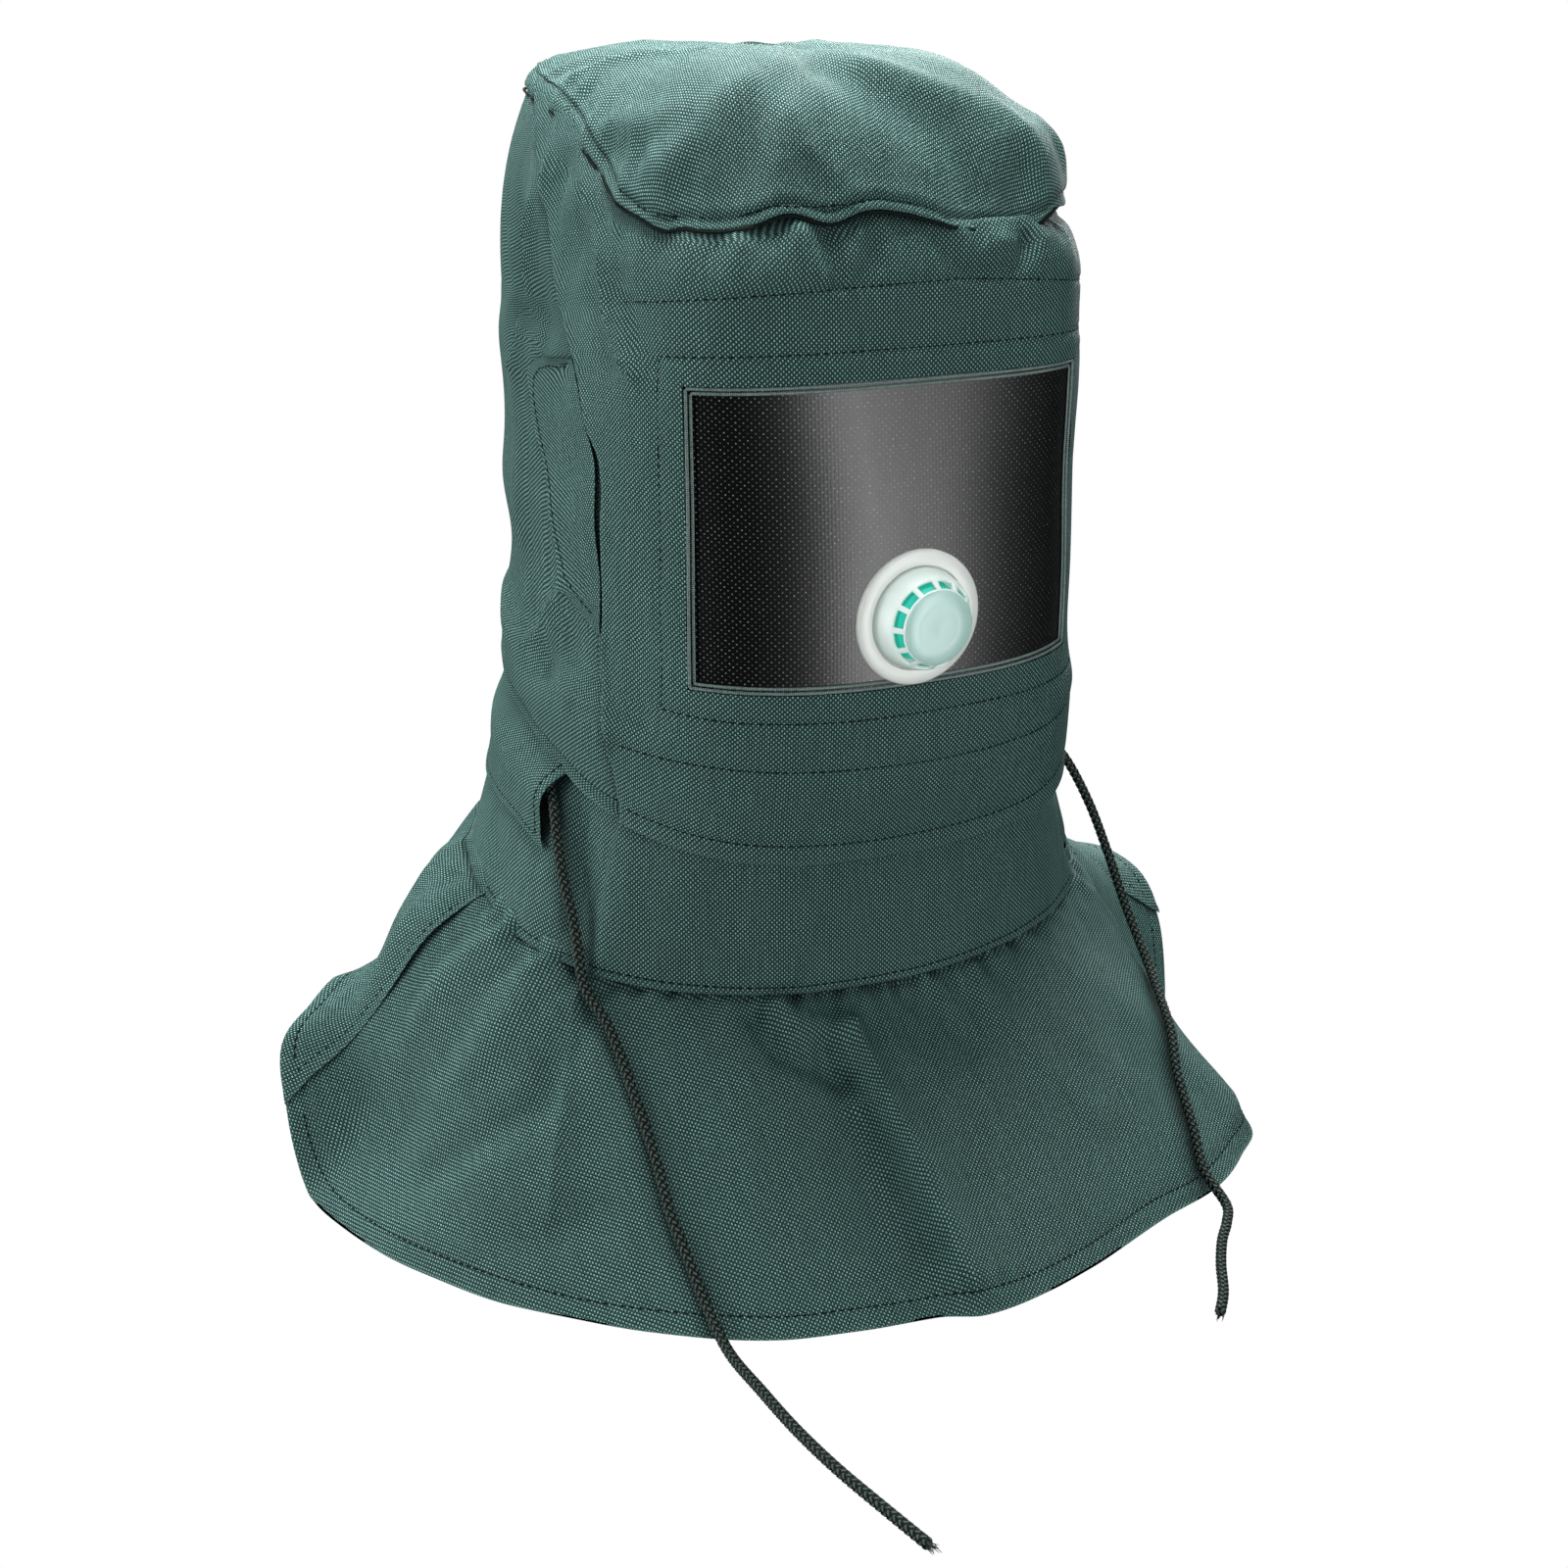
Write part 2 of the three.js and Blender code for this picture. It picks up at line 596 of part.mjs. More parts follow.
// Visor with the valve's hole, and the binding round the window.
function visorGeometry(solid) {
  const angles = [WINDOW.right - VISOR_MARGIN, ...steps(WINDOW.right, WINDOW.left, WINDOW_COLUMNS),
    WINDOW.left + VISOR_MARGIN];
  const levels = [WINDOW.bottom - VISOR_MARGIN_LEVELS, ...FRONT_LEVELS.slice(bottomRow, topRow + 1),
    WINDOW.top + VISOR_MARGIN_LEVELS];
  const sheet = cloth(bodyPoint, angles, levels, { lift: -VISOR_DEPTH, wall: VISOR_WALL }).geometry();
  const hole = new THREE.CylinderGeometry(VALVE.holeRadius, VALVE.holeRadius, 40, 32);
  placeValve(hole, 0);
  return solid.subtract(sheet, hole);
}

function bindingGeometry() {
  const middle = (WINDOW.right + WINDOW.left) / 2;
  const wide = (a, inset) => a + (a < middle ? inset : -inset) / 2.35;
  const tall = (l, inset) => l + (l < 3.5 ? inset / 36 : -inset / 48);
  const angles = [wide(WINDOW.right, GAP), wide(WINDOW.right, BINDING_WIDTH)];
  angles.push(...steps(WINDOW.right, WINDOW.left, WINDOW_COLUMNS).slice(1, -1));
  angles.push(wide(WINDOW.left, BINDING_WIDTH), wide(WINDOW.left, GAP));
  const inner = FRONT_LEVELS.slice(bottomRow + 1, topRow);
  const levels = [tall(WINDOW.bottom, GAP), tall(WINDOW.bottom, BINDING_WIDTH), ...inner];
  levels.push(tall(WINDOW.top, BINDING_WIDTH), tall(WINDOW.top, GAP));
  const isOpen = (i, j) => i > 0 && i < angles.length - 2 && j > 0 && j < levels.length - 2;
  return cloth(bodyPoint, angles, levels, { lift: -0.35, wall: BINDING_WALL, isOpen }).geometry();
}

/** Turns a shape made about +Y so that its +Y points out of the visor, at a distance along it. */
function placeValve(geometry, distance) {
  geometry.translate(0, distance, 0);
  geometry.rotateX(rad(180 - VALVE.tilt));
  geometry.translate(VALVE.x, -VALVE.standoff, VALVE.z);
  return geometry;
}

function turned(profile, segments) {
  const points = profile.map(([r, h]) => new THREE.Vector2(r, h));
  return new THREE.LatheGeometry(points, segments);
}

function valvePieces(solid) {
  const v = VALVE;
  const bore = v.neckRadius - v.wall;
  const seat = v.gasket + 0.8;
  const base = turned([
    [bore, -6], [v.neckRadius, -6], [v.neckRadius, 0], [v.gasketRadius, 0], [v.gasketRadius, v.gasket],
    [v.flangeRadius, v.gasket], [v.flangeRadius, v.flangeTop - 0.9], [v.flangeRadius - 1.4, v.flangeTop],
    [v.domeFoot + 0.4, v.flangeTop], [v.domeFoot + 0.4, seat], [bore, seat], [bore, -6],
  ], VALVE_SEGMENTS);
  const foot = seat + GAP;
  const dome = turned([
    [v.domeFoot, foot], [v.domeFoot, v.flangeTop + 1], [v.domeRadius, 10], [v.domeRadius - 2, 16.5],
    [v.capRadius + 1, v.domeHeight - 1.2], [v.capRadius - 0.5, v.domeHeight], [0, v.domeHeight],
    [0, v.domeHeight - v.capThickness], [v.capRadius - 2, v.domeHeight - v.capThickness],
    [v.domeRadius - 2 - v.wall, 15.5], [v.domeRadius - v.wall, 9.5], [v.domeFoot - v.wall, foot],
    [v.domeFoot, foot],
  ], VALVE_SEGMENTS);
  const slots = [];
  for (let i = 0; i < v.slots; i += 1) {
    const slot = new THREE.BoxGeometry(v.slotWidth, v.slotTop - v.slotBottom, 12);
    slot.translate(0, (v.slotTop + v.slotBottom) / 2, v.domeRadius - 2);
    slot.rotateY((2 * Math.PI * i) / v.slots);
    slots.push(slot);
  }
  const cap = solid.subtract(dome, ...slots);
  const membrane = turned([
    [0, foot + 0.2], [bore + 1.5, foot + 0.2], [bore + 1.5, foot + 1], [v.membraneRadius - 3, 15],
    [v.membraneRadius - 1.5, 20.2], [0, 20.2],
  ], VALVE_SEGMENTS);
  const backRing = turned([
    [v.neckRadius + GAP, -6], [v.flangeRadius - 3, -6], [v.flangeRadius - 3, -4],
    [v.neckRadius + GAP, -4], [v.neckRadius + GAP, -6],
  ], VALVE_SEGMENTS);
  return { base, cap, membrane, backRing };
}

function cordPoint(row) {
  if (row.on === "neck") {
    const n = normalAt(neckPoint, row.angle, row.at, 1);
    return neckPoint(row.angle, row.at).addScaledVector(n, CORD_LIFT);
  }
  if (row.on === "cape") {
    const n = normalAt(capePoint, row.angle, row.at, -1);
    return capePoint(row.angle, row.at).addScaledVector(n, CORD_LIFT);
  }
  return new THREE.Vector3(row.x, row.y, row.z ?? CORD_RADIUS);
}

function cordGeometry(run) {
  const path = new THREE.CatmullRomCurve3(run.map(cordPoint), false, "centripetal");
  const section = new THREE.Shape();
  for (let i = 0; i < CORD_SIDES; i += 1) {
    const a = (2 * Math.PI * i) / CORD_SIDES;
    const x = CORD_RADIUS * Math.cos(a);
    const y = CORD_RADIUS * Math.sin(a);
    if (i === 0) {
      section.moveTo(x, y);
    } else {
      section.lineTo(x, y);
    }
  }
  section.closePath();
  return new THREE.ExtrudeGeometry(section, { steps: CORD_STEPS, bevelEnabled: false, extrudePath: path });
}

/** Solid operations on closed geometry. */
async function solidKit() {
  const manifold = await Module();
  manifold.setup();
  const { Manifold, Mesh } = manifold;
  const toSolid = (geometry) => {
    const plain = geometry.clone();
    plain.deleteAttribute("normal");
    plain.deleteAttribute("uv");
    const welded = mergeVertices(plain, 1e-4);
    return new Manifold(new Mesh({
      numProp: 3,
      vertProperties: new Float32Array(welded.getAttribute("position").array),
      triVerts: new Uint32Array(welded.index.array),
    }));
  };
  const toGeometry = (solid) => {
    const mesh = solid.getMesh();
    const geometry = new THREE.BufferGeometry();
    geometry.setAttribute("position", new THREE.BufferAttribute(new Float32Array(mesh.vertProperties), 3));
    geometry.setIndex(Array.from(mesh.triVerts));
    return geometry;
  };
  const subtract = (geometry, ...tools) => {
    let solid = toSolid(geometry);
    for (const tool of tools) {
      solid = solid.subtract(toSolid(tool));
    }
    return toGeometry(solid);
  };
  return { subtract };
}

const solid = await solidKit();
const valve = valvePieces(solid);
const hood = new THREE.Group();
hood.add(piece("crown", crownGeometry(), GREEN, 0.85));
hood.add(piece("front_panel", frontPanel.geometry(), GREEN, 0.85));
hood.add(piece("back_panel", backPanel.geometry(), GREEN, 0.85));
hood.add(piece("ear_patch_right", earPatch(-1), GREEN, 0.85));
hood.add(piece("ear_patch_left", earPatch(1), GREEN, 0.85));
hood.add(piece("neck_band", neckBand.geometry(), GREEN, 0.85));
hood.add(piece("cord_channel", channel.geometry(), GREEN, 0.85));
hood.add(piece("cape_front", capePanel(FRONT_CAPE, LAYER), GREEN, 0.85));
hood.add(piece("cape_back", capePanel(BACK_CAPE, 0), GREEN, 0.85));
hood.add(piece("visor", visorGeometry(solid), new THREE.Color(0.02, 0.022, 0.022), 0.25));
hood.add(piece("window_binding", bindingGeometry(), new THREE.Color(0.05, 0.06, 0.055), 0.7));
hood.add(piece("valve_base", placeValve(valve.base, 0), new THREE.Color(0.75, 0.78, 0.74), 0.45));
hood.add(piece("valve_cap", placeValve(valve.cap, 0), new THREE.Color(0.7, 0.85, 0.8), 0.4));
hood.add(piece("valve_membrane", placeValve(valve.membrane, 0), new THREE.Color(0.1, 0.6, 0.5), 0.5));
hood.add(piece("valve_back_ring", placeValve(valve.backRing, 0), new THREE.Color(0.75, 0.78, 0.74), 0.5));
hood.add(piece("cord_right", cordGeometry(LONG_RUN), new THREE.Color(0.02, 0.035, 0.028), 0.8));
hood.add(piece("cord_left", cordGeometry(SHORT_RUN), new THREE.Color(0.02, 0.035, 0.028), 0.8));

export default hood;
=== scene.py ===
"""Looks of a sandblasting hood: cloth panels, seams, stitches, visor, valve and cords over its solids.

Surfaces are worked out in millimetres and written to the meshes in metres.
Angles run round the hood from the front, positive towards +X, which is the wearer's left.
Levels run up the hood from its hem to the crown seam, and falls down the cape from the neck.
"""

from __future__ import annotations

import logging
import math
from dataclasses import dataclass, field, replace
from enum import Enum
from typing import Callable, Iterable, NamedTuple, Sequence

import bpy
import numpy as np
from mathutils import Matrix, Vector

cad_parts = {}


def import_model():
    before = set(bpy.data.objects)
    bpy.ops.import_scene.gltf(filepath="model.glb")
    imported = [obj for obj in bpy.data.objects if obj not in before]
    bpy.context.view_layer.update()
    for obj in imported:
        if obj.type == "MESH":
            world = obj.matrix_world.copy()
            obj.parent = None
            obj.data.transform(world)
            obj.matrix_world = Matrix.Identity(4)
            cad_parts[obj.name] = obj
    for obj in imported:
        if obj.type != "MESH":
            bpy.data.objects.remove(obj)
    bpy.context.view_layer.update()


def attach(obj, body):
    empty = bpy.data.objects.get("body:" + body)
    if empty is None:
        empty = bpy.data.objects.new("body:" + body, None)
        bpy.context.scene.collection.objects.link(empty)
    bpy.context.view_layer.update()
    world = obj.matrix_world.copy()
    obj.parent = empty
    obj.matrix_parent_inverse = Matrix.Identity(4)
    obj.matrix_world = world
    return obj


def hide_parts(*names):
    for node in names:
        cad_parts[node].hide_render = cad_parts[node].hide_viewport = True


LOG = logging.getLogger("hood")
MM = 0.001
Surface = Callable[[np.ndarray, np.ndarray], np.ndarray]
Pair = tuple[float, float]
# Width in mm of the lighter band along cut edges, partly wear and partly painted highlight.
EDGE_WEAR_AND_HIGHLIGHT = 1.3
HOOD_ROW = 0.2
CAPE_ROW = 0.93
CAPE_FALL = 175.0
VALVE_CENTRE = (-6.0, 294.0)
VALVE_HOLE = 19.4
FIBRE_RINGS = 5


class Profile(Enum):
    """Cross-section of a crease in cloth."""

    SOFT = "soft"
    SHARP = "sharp"
    STEP = "step"


@dataclass(frozen=True)
class Table:
    """Smooth curve through a column of values."""

    keys: tuple[float, ...]
    values: tuple[float, ...]

    def __call__(self, x: np.ndarray | float) -> np.ndarray:
        """Value of the curve.

        Args:
            x: Where the curve is read.

        Returns:
            The smooth value at each x.
        """
        keys = np.asarray(self.keys, float)
        values = np.asarray(self.values, float)
        at = np.clip(np.asarray(x, float), keys[0], keys[-1])
        i = np.clip(np.searchsorted(keys, at, side="left") - 1, 0, len(keys) - 2)
        low = np.maximum(np.arange(len(keys)) - 1, 0)
        high = np.minimum(np.arange(len(keys)) + 1, len(keys) - 1)
        slope = (values[high] - values[low]) / (keys[high] - keys[low])
        span = keys[i + 1] - keys[i]
        s = (at - keys[i]) / span
        s2, s3 = s * s, s * s * s
        start = (2 * s3 - 3 * s2 + 1) * values[i] + (s3 - 2 * s2 + s) * span * slope[i]
        return start + (3 * s2 - 2 * s3) * values[i + 1] + (s3 - s2) * span * slope[i + 1]


@dataclass(frozen=True)
class Ring:
    """Rounded ring round the hood: half width, reach ahead and behind, rounding, height and tilt."""

    half: float | np.ndarray
    front: float | np.ndarray
    back: float | np.ndarray
    square: float | np.ndarray
    height: float | np.ndarray = 0.0
    tilt: float | np.ndarray = 0.0


@dataclass(frozen=True)
class Bulge:
    """Swell of the crown at an angle and a share of its rise."""

    angle: float
    rise: float
    spread: float
    reach: float
    height: float


@dataclass(frozen=True)
class Fold:
    """Fold of the cape, by its angle at the neck, half way down and at the hem."""

    neck: float
    middle: float
    hem: float
    width: float
    height: float
    start: float


class Bead(NamedTuple):
    """Bead of the window's edge: distance into the opening, height over the cloth, half sizes."""

    inset: float
    lift: float
    half_width: float
    half_height: float


class Window(NamedTuple):
    """Opening of the visor: side edges in degrees, lower and upper edge in levels."""

    right: float
    left: float
    bottom: float
    top: float


def bell(x: np.ndarray, width: float) -> np.ndarray:
    """Bell curve of height 1."""
    return np.exp(-(x * x) / (2 * width * width))


def wrapped(angle: np.ndarray) -> np.ndarray:
    """Angle brought into -180 to 180 degrees."""
    return (np.asarray(angle, float) + 540) % 360 - 180


def round_the_back(crease: Callable) -> Callable:
    """Crease that also works on columns counted on past 180 degrees."""
    return lambda angle, level, scale: crease(wrapped(angle), level, scale)


def flat_edge(level: float) -> Callable[[np.ndarray], np.ndarray]:
    """Edge that stays at one level all round."""
    return lambda angle: np.full(np.shape(angle), level)


@dataclass
class HoodForm:
    """Smooth surfaces that the cloth follows."""

    apex: float = 531.0
    apex_climb: float = 8.1
    fullness: float = 5.0
    shift: float = 5.0
    wall_drop: float = 42.0
    collar_drop: float = 1.75
    crown_ring: Ring = Ring(112, 120, 128, 3.0)
    neck_low: Ring = Ring(160, 116, 152, 2.13, 132.7, 0.21)
    neck_high: Ring = Ring(125.5, 116, 132, 2.5, 226.0, 0.31)
    levels: tuple[float, ...] = (0, 1, 2, 3, 4, 5, 6)
    heights: tuple[float, ...] = (216, 241, 262, 300, 350, 396, 421)
    half_widths: tuple[float, ...] = (134, 136, 128, 124, 123, 120, 115)
    fronts: tuple[float, ...] = (126, 137, 138, 137, 134, 130, 128)
    backs: tuple[float, ...] = (141, 140, 140, 145, 147, 145, 140)
    tilts: tuple[float, ...] = (0.31, 0.12, 0.05, 0, 0, -0.03, -0.1)
    rear_tilts: tuple[float, ...] = (0.31, 0.29, 0.25, 0.2, 0.13, 0.06, 0.02)
    squares: tuple[float, ...] = (2.61, 2.42, 2.6, 2.8, 2.9, 3.4, 3.8)
    seam_height: Table = Table(
        (0, 45, 60, 75, 90, 110, 135, 180), (463, 464, 468, 484, 500, 514, 520, 522)
    )
    seam_pull: Table = Table(
        (-180, -150, -130, -100, -80, -68, -56, -40, 180), (0, 6, 11, 13, 10, 5, 0, 0, 0)
    )
    side_seam: Table = Table(
        (0, 1, 2.5, 3.4, 4.15, 4.45, 5.3, 6.45, 7), (60, 62, 65.2, 65.8, 66.8, 71, 81, 98.5, 123)
    )
    crown_edge: Table = Table(
        (-180, -100, -66, -56.6, -49.4, -46.7, -43, -34.6, -26.6, -18.6, -12.6, -6.5, 2, 8.3, 18, 27.8, 34,
         40, 52, 90, 180),
        (-3, -3, -2, -1, -5, -2.5, -3.2, -1, 5, 0.5, 4, 4.5, 1, -4.5, -6, -7, -3, 0, -1, -4, -3),
    )
    bulges: tuple[Bulge, ...] = (
        Bulge(angle=50, rise=0.05, spread=19, reach=0.065, height=16),
        Bulge(angle=-40, rise=0.3, spread=20, reach=0.25, height=3),
    )
    hem_angles: tuple[float, ...] = (
        -180, -160, -140, -122, -110, -104, -99, -94.5, -90.5, -87, -75, -62, -42, -28, -20, -11, -6, 3, 9,
        20, 26, 34, 44, 50, 57, 68, 77, 86, 90, 94.5, 99, 105, 122, 140, 160, 180,
    )
    hem_radii: tuple[float, ...] = (
        246, 240, 231, 231, 234, 246, 263, 266, 264, 263, 257, 252, 248, 247, 242, 239, 245, 240, 236, 231,
        232, 241, 246, 250, 242, 233, 235, 241, 254, 263, 262, 249, 231, 231, 240, 246,
    )
    hem_heights: tuple[float, ...] = (
        0, 0, 24, 60, 80, 76, 66, 38, 5, 0, 0, 0, 0, 0, 0, 0, 0, 0, 0, 0,
        0, 0, 0, 0, 0, 0, 0, 0, 6, 40, 66, 78, 60, 24, 0, 0,
    )
    folds: tuple[Fold, ...] = (
        Fold(neck=-18, middle=-10, hem=-5.2, width=4.5, height=9, start=0.1),
        Fold(neck=-18, middle=-15, hem=-12, width=4, height=-8, start=0.12),
        Fold(neck=70, middle=63, hem=50, width=7, height=6, start=0.0),
        Fold(neck=84, middle=79, hem=69, width=8, height=-9, start=0.15),
        Fold(neck=-70, middle=-68, hem=-66, width=6, height=4, start=0.0),
        Fold(neck=-84, middle=-90, hem=-93, width=4, height=3, start=0.0),
    )
    sag: Table = Table((-180, -130, -105, -90, 0, 90, 105, 130, 180), (4, 6, 2, 1, 0, 3, 10, 12, 4))

    def ring(self, angle: np.ndarray, shape: Ring) -> np.ndarray:
        """Point of a rounded ring.

        Args:
            angle: Degrees from the front.
            shape: Sizes of the ring, its tilt as a rise per mm of y.

        Returns:
            Points, one per angle.
        """
        side = np.sin(np.radians(angle))
        ahead = np.cos(np.radians(angle))
        depth = np.where(ahead > 0, shape.front, shape.back)
        power = shape.square
        radius = (np.abs(side / shape.half) ** power + np.abs(ahead / depth) ** power) ** (-1 / power)
        y = -radius * ahead
        return np.stack([radius * side, y, shape.height + shape.tilt * y], axis=-1)

    def seam(self, angle: np.ndarray) -> np.ndarray:
        """Ring where the crown is sewn on."""
        point = self.ring(angle, replace(self.crown_ring, height=self.seam_height(np.abs(angle))))
        point[..., 0] += self.seam_pull(angle)
        return point

    def body(self, angle: np.ndarray, level: np.ndarray) -> np.ndarray:
        """Side wall of the hood, level 0 at its hem and 7 at the crown seam."""
        angle, level = np.broadcast_arrays(wrapped(angle), np.asarray(level, float))
        low = np.minimum(level, 6)

        def column(values: tuple[float, ...]) -> np.ndarray:
            """Values of one column of the body's table, at each level."""
            return Table(self.levels, values)(low)

        tilt = np.where(np.abs(angle) > 90, column(self.rear_tilts), column(self.tilts))
        point = self.ring(angle, Ring(
            column(self.half_widths), column(self.fronts), column(self.backs), column(self.squares),
            column(self.heights), tilt,
        ))
        w = np.maximum(level - 6, 0)[..., None]
        inward = w ** 2.2
        seam = self.seam(angle)
        top = np.concatenate([
            point[..., :2] + (seam - point)[..., :2] * inward,
            point[..., 2:] + (seam - point)[..., 2:] * w,
        ], axis=-1)
        return np.where(w > 0, top, point)

    def crown(self, angle: np.ndarray, climb: np.ndarray) -> np.ndarray:
        """Crown wall: a climb below 0 runs down the body, and apex_climb is the apex."""
        angle, climb = np.broadcast_arrays(wrapped(angle), np.asarray(climb, float))
        rise = np.clip(np.maximum(climb, 0) / self.apex_climb, 0, 1)
        seam = self.seam(angle)
        s = (1 - rise)[..., None]
        lift = 1 - (1 - rise) ** self.fullness
        out = self.away(angle, 0.5)
        swell = np.zeros(angle.shape)
        for b in self.bulges:
            start = np.minimum(1, rise / 0.12)
            swell += b.height * bell(angle - b.angle, b.spread) * bell(rise - b.rise, b.reach) * start
        x = seam[..., 0] * s[..., 0]
        y = seam[..., 1] * s[..., 0] + self.shift * rise
        z = seam[..., 2] + (self.apex - seam[..., 2]) * lift
        upper = np.stack([x, y, z], -1) + out * swell[..., None] * s
        return np.where((climb < 0)[..., None], self.body(angle, 7 + np.minimum(climb, 0)), upper)

    def away(self, angle: np.ndarray, up: float) -> np.ndarray:
        """Direction away from the axis, leaning upward."""
        turn = np.radians(angle)
        out = np.stack([np.sin(turn), -np.cos(turn), np.full(angle.shape, up)], -1)
        return out / np.linalg.norm(out, axis=-1, keepdims=True)

    def hem(self, angle: np.ndarray) -> np.ndarray:
        """Lower edge of the cape."""
        radius = Table(self.hem_angles, self.hem_radii)(angle)
        z = np.maximum(0, Table(self.hem_angles, self.hem_heights)(angle))
        return np.stack([radius * np.sin(np.radians(angle)), -radius * np.cos(np.radians(angle)), z], -1)

    def neck_seam(self, angle: np.ndarray) -> np.ndarray:
        """Ring where the cape is sewn on."""
        return self.ring(angle, self.neck_low)

    def cape(self, angle: np.ndarray, fall: np.ndarray) -> np.ndarray:
        """Cape, fall 0 at the neck seam and 1 at the hem."""
        angle, fall = np.broadcast_arrays(wrapped(angle), np.asarray(fall, float))
        top = self.neck_seam(angle)
        point = top + (self.hem(angle) - top) * fall[..., None]
        out = -self.sag(angle) * 4 * fall * (1 - fall)
        for fold in self.folds:
            centre = np.interp(fall, [0, 0.5, 1], [fold.neck, fold.middle, fold.hem])
            rise = np.clip((fall - fold.start) / 0.25, 0, 1) * np.clip((1 - fall) / 0.12, 0, 1)
            out = out + fold.height * rise * bell(angle - centre, fold.width)
        return point + self.away(angle, 0.9) * out[..., None]

    def cape_wall(self, angle: np.ndarray, fall: np.ndarray) -> np.ndarray:
        """Cape and, with a fall below 0, its collar inside the neck band."""
        angle, fall = np.broadcast_arrays(angle, np.asarray(fall, float))
        collar = self.neck(angle, -fall * self.collar_drop)
        return np.where((fall < 0)[..., None], collar, self.cape(angle, np.maximum(fall, 0)))

    def neck(self, angle: np.ndarray, climb: np.ndarray) -> np.ndarray:
        """Neck band, climb 0 at the cape and 1 under the hood hem."""
        angle, climb = np.broadcast_arrays(wrapped(angle), np.asarray(climb, float))
        low = self.neck_seam(angle)
        high = self.ring(angle, self.neck_high)
        return low + (high - low) * climb[..., None]


@dataclass(frozen=True)
class Crease:
    """Line along which cloth rises or sinks."""

    points: tuple[Pair, ...]
    width: float
    height: float
    profile: Profile = Profile.SOFT
    step_fade: float = 26.0
    step_end: float = 6.0

    def __call__(self, angle: np.ndarray, level: np.ndarray, scale: Pair) -> np.ndarray:
        """Height that the crease adds.

        Args:
            angle: Degrees round the hood.
            level: Level on the piece.
            scale: Millimetres per degree and per level.

        Returns:
            Heights in millimetres.
        """
        p = np.stack([angle * scale[0], level * scale[1]], -1)
        line = np.array(self.points, float) * np.array(scale)
        if self.profile is Profile.STEP:
            order = np.argsort(line[:, 1])
            across = p[..., 0] - np.interp(p[..., 1], line[order, 1], line[order, 0])
            beyond = np.maximum(np.maximum(line[:, 1].min() - p[..., 1], p[..., 1] - line[:, 1].max()), 0)
            side = 1 / (1 + np.exp(-np.clip(across / self.width, -30, 30)))
            fade = np.exp(-np.maximum(across, 0) / self.step_fade)
            return self.height * side * fade * np.exp(-beyond / self.step_end)
        nearest = np.full(angle.shape, np.inf)
        for a, b in zip(line[:-1], line[1:]):
            d = b - a
            t = np.clip(((p - a) @ d) / max(d @ d, 1e-9), 0, 1)
            nearest = np.minimum(nearest, np.linalg.norm(p - a - t[..., None] * d, axis=-1))
        if self.profile is Profile.SHARP:
            return self.height * np.exp(-nearest / self.width)
        return self.height * bell(nearest, self.width)


@dataclass(frozen=True)
class Ripple:
    """Faint unevenness of cloth that isn't pressed flat."""

    height: float
    length: float
    seed: int

    def __call__(self, angle: np.ndarray, level: np.ndarray, scale: Pair) -> np.ndarray:
        """Height of the unevenness in millimetres."""
        rng = np.random.default_rng(self.seed)
        total = np.zeros(angle.shape)
        x, y = angle * scale[0], level * scale[1]
        for _ in range(9):
            turn, phase = rng.uniform(0, 2 * math.pi, 2)
            k = 2 * math.pi / (self.length * rng.uniform(0.6, 1.9))
            total += np.sin(k * (x * math.cos(turn) + y * math.sin(turn)) + phase)
        return self.height * total / 4


@dataclass(frozen=True)
class Pucker:
    """Short gathers that run off a sewn edge."""

    edge: Callable[[np.ndarray], np.ndarray]
    reach: float
    height: float
    pitch: float
    seed: int

    def __call__(self, angle: np.ndarray, level: np.ndarray, scale: Pair) -> np.ndarray:
        """Height of the gathers in millimetres."""
        rng = np.random.default_rng(self.seed)
        away = np.abs(level - self.edge(angle)) * scale[1]
        wave = np.zeros(angle.shape)
        for _ in range(5):
            k = 2 * math.pi / (self.pitch * rng.uniform(0.7, 2.1))
            lean = rng.uniform(-0.5, 0.5)
            wave += np.sin(k * (angle * scale[0] + lean * away) + rng.uniform(0, 6.3))
        return self.height * wave / 2.5 * np.exp(-away / self.reach)


def edge_share(grid: np.ndarray, closed: bool, capped: bool) -> np.ndarray:
    """Closeness of each point to a cut edge of the cloth, 1 on the edge.

    Args:
        grid: Points in millimetres, columns by rows.
        closed: True for a ring, which has no side edges.
        capped: True where the last row is no edge.

    Returns:
        One value per point.
    """
    steps = np.linalg.norm(np.diff(grid, axis=1), axis=2)
    up = np.concatenate([np.zeros((len(grid), 1)), np.cumsum(steps, axis=1)], axis=1)
    far = up if capped else np.minimum(up, up[:, -1:] - up)
    if not closed:
        steps = np.linalg.norm(np.diff(grid, axis=0), axis=2)
        over = np.concatenate([np.zeros((1, grid.shape[1])), np.cumsum(steps, axis=0)], axis=0)
        far = np.minimum(far, np.minimum(over, over[-1:] - over))
    return np.exp(-((far / EDGE_WEAR_AND_HIGHLIGHT) ** 2))


def write_mesh(
    name: str, points: np.ndarray, faces: list[list[int]], uv: np.ndarray | None = None
) -> bpy.types.Object:
    """Puts a mesh into the scene.

    Args:
        name: Name of the new object.
        points: Vertices in millimetres.
        faces: Vertex numbers of each face.
        uv: Place of each face corner in the flat cloth, in metres.

    Returns:
        The object, smooth shaded, with its creases kept sharp.
    """
    mesh = bpy.data.meshes.new(name)
    mesh.from_pydata((np.asarray(points) * MM).tolist(), [], faces)
    if uv is not None:
        layer = mesh.uv_layers.new(name="UVMap")
        layer.data.foreach_set("uv", np.asarray(uv, np.float32).ravel())
    mesh.validate()
    obj = bpy.data.objects.new(name, mesh)
    bpy.context.scene.collection.objects.link(obj)
    only(obj)
    bpy.ops.object.shade_smooth_by_angle(angle=math.radians(50))
    return obj


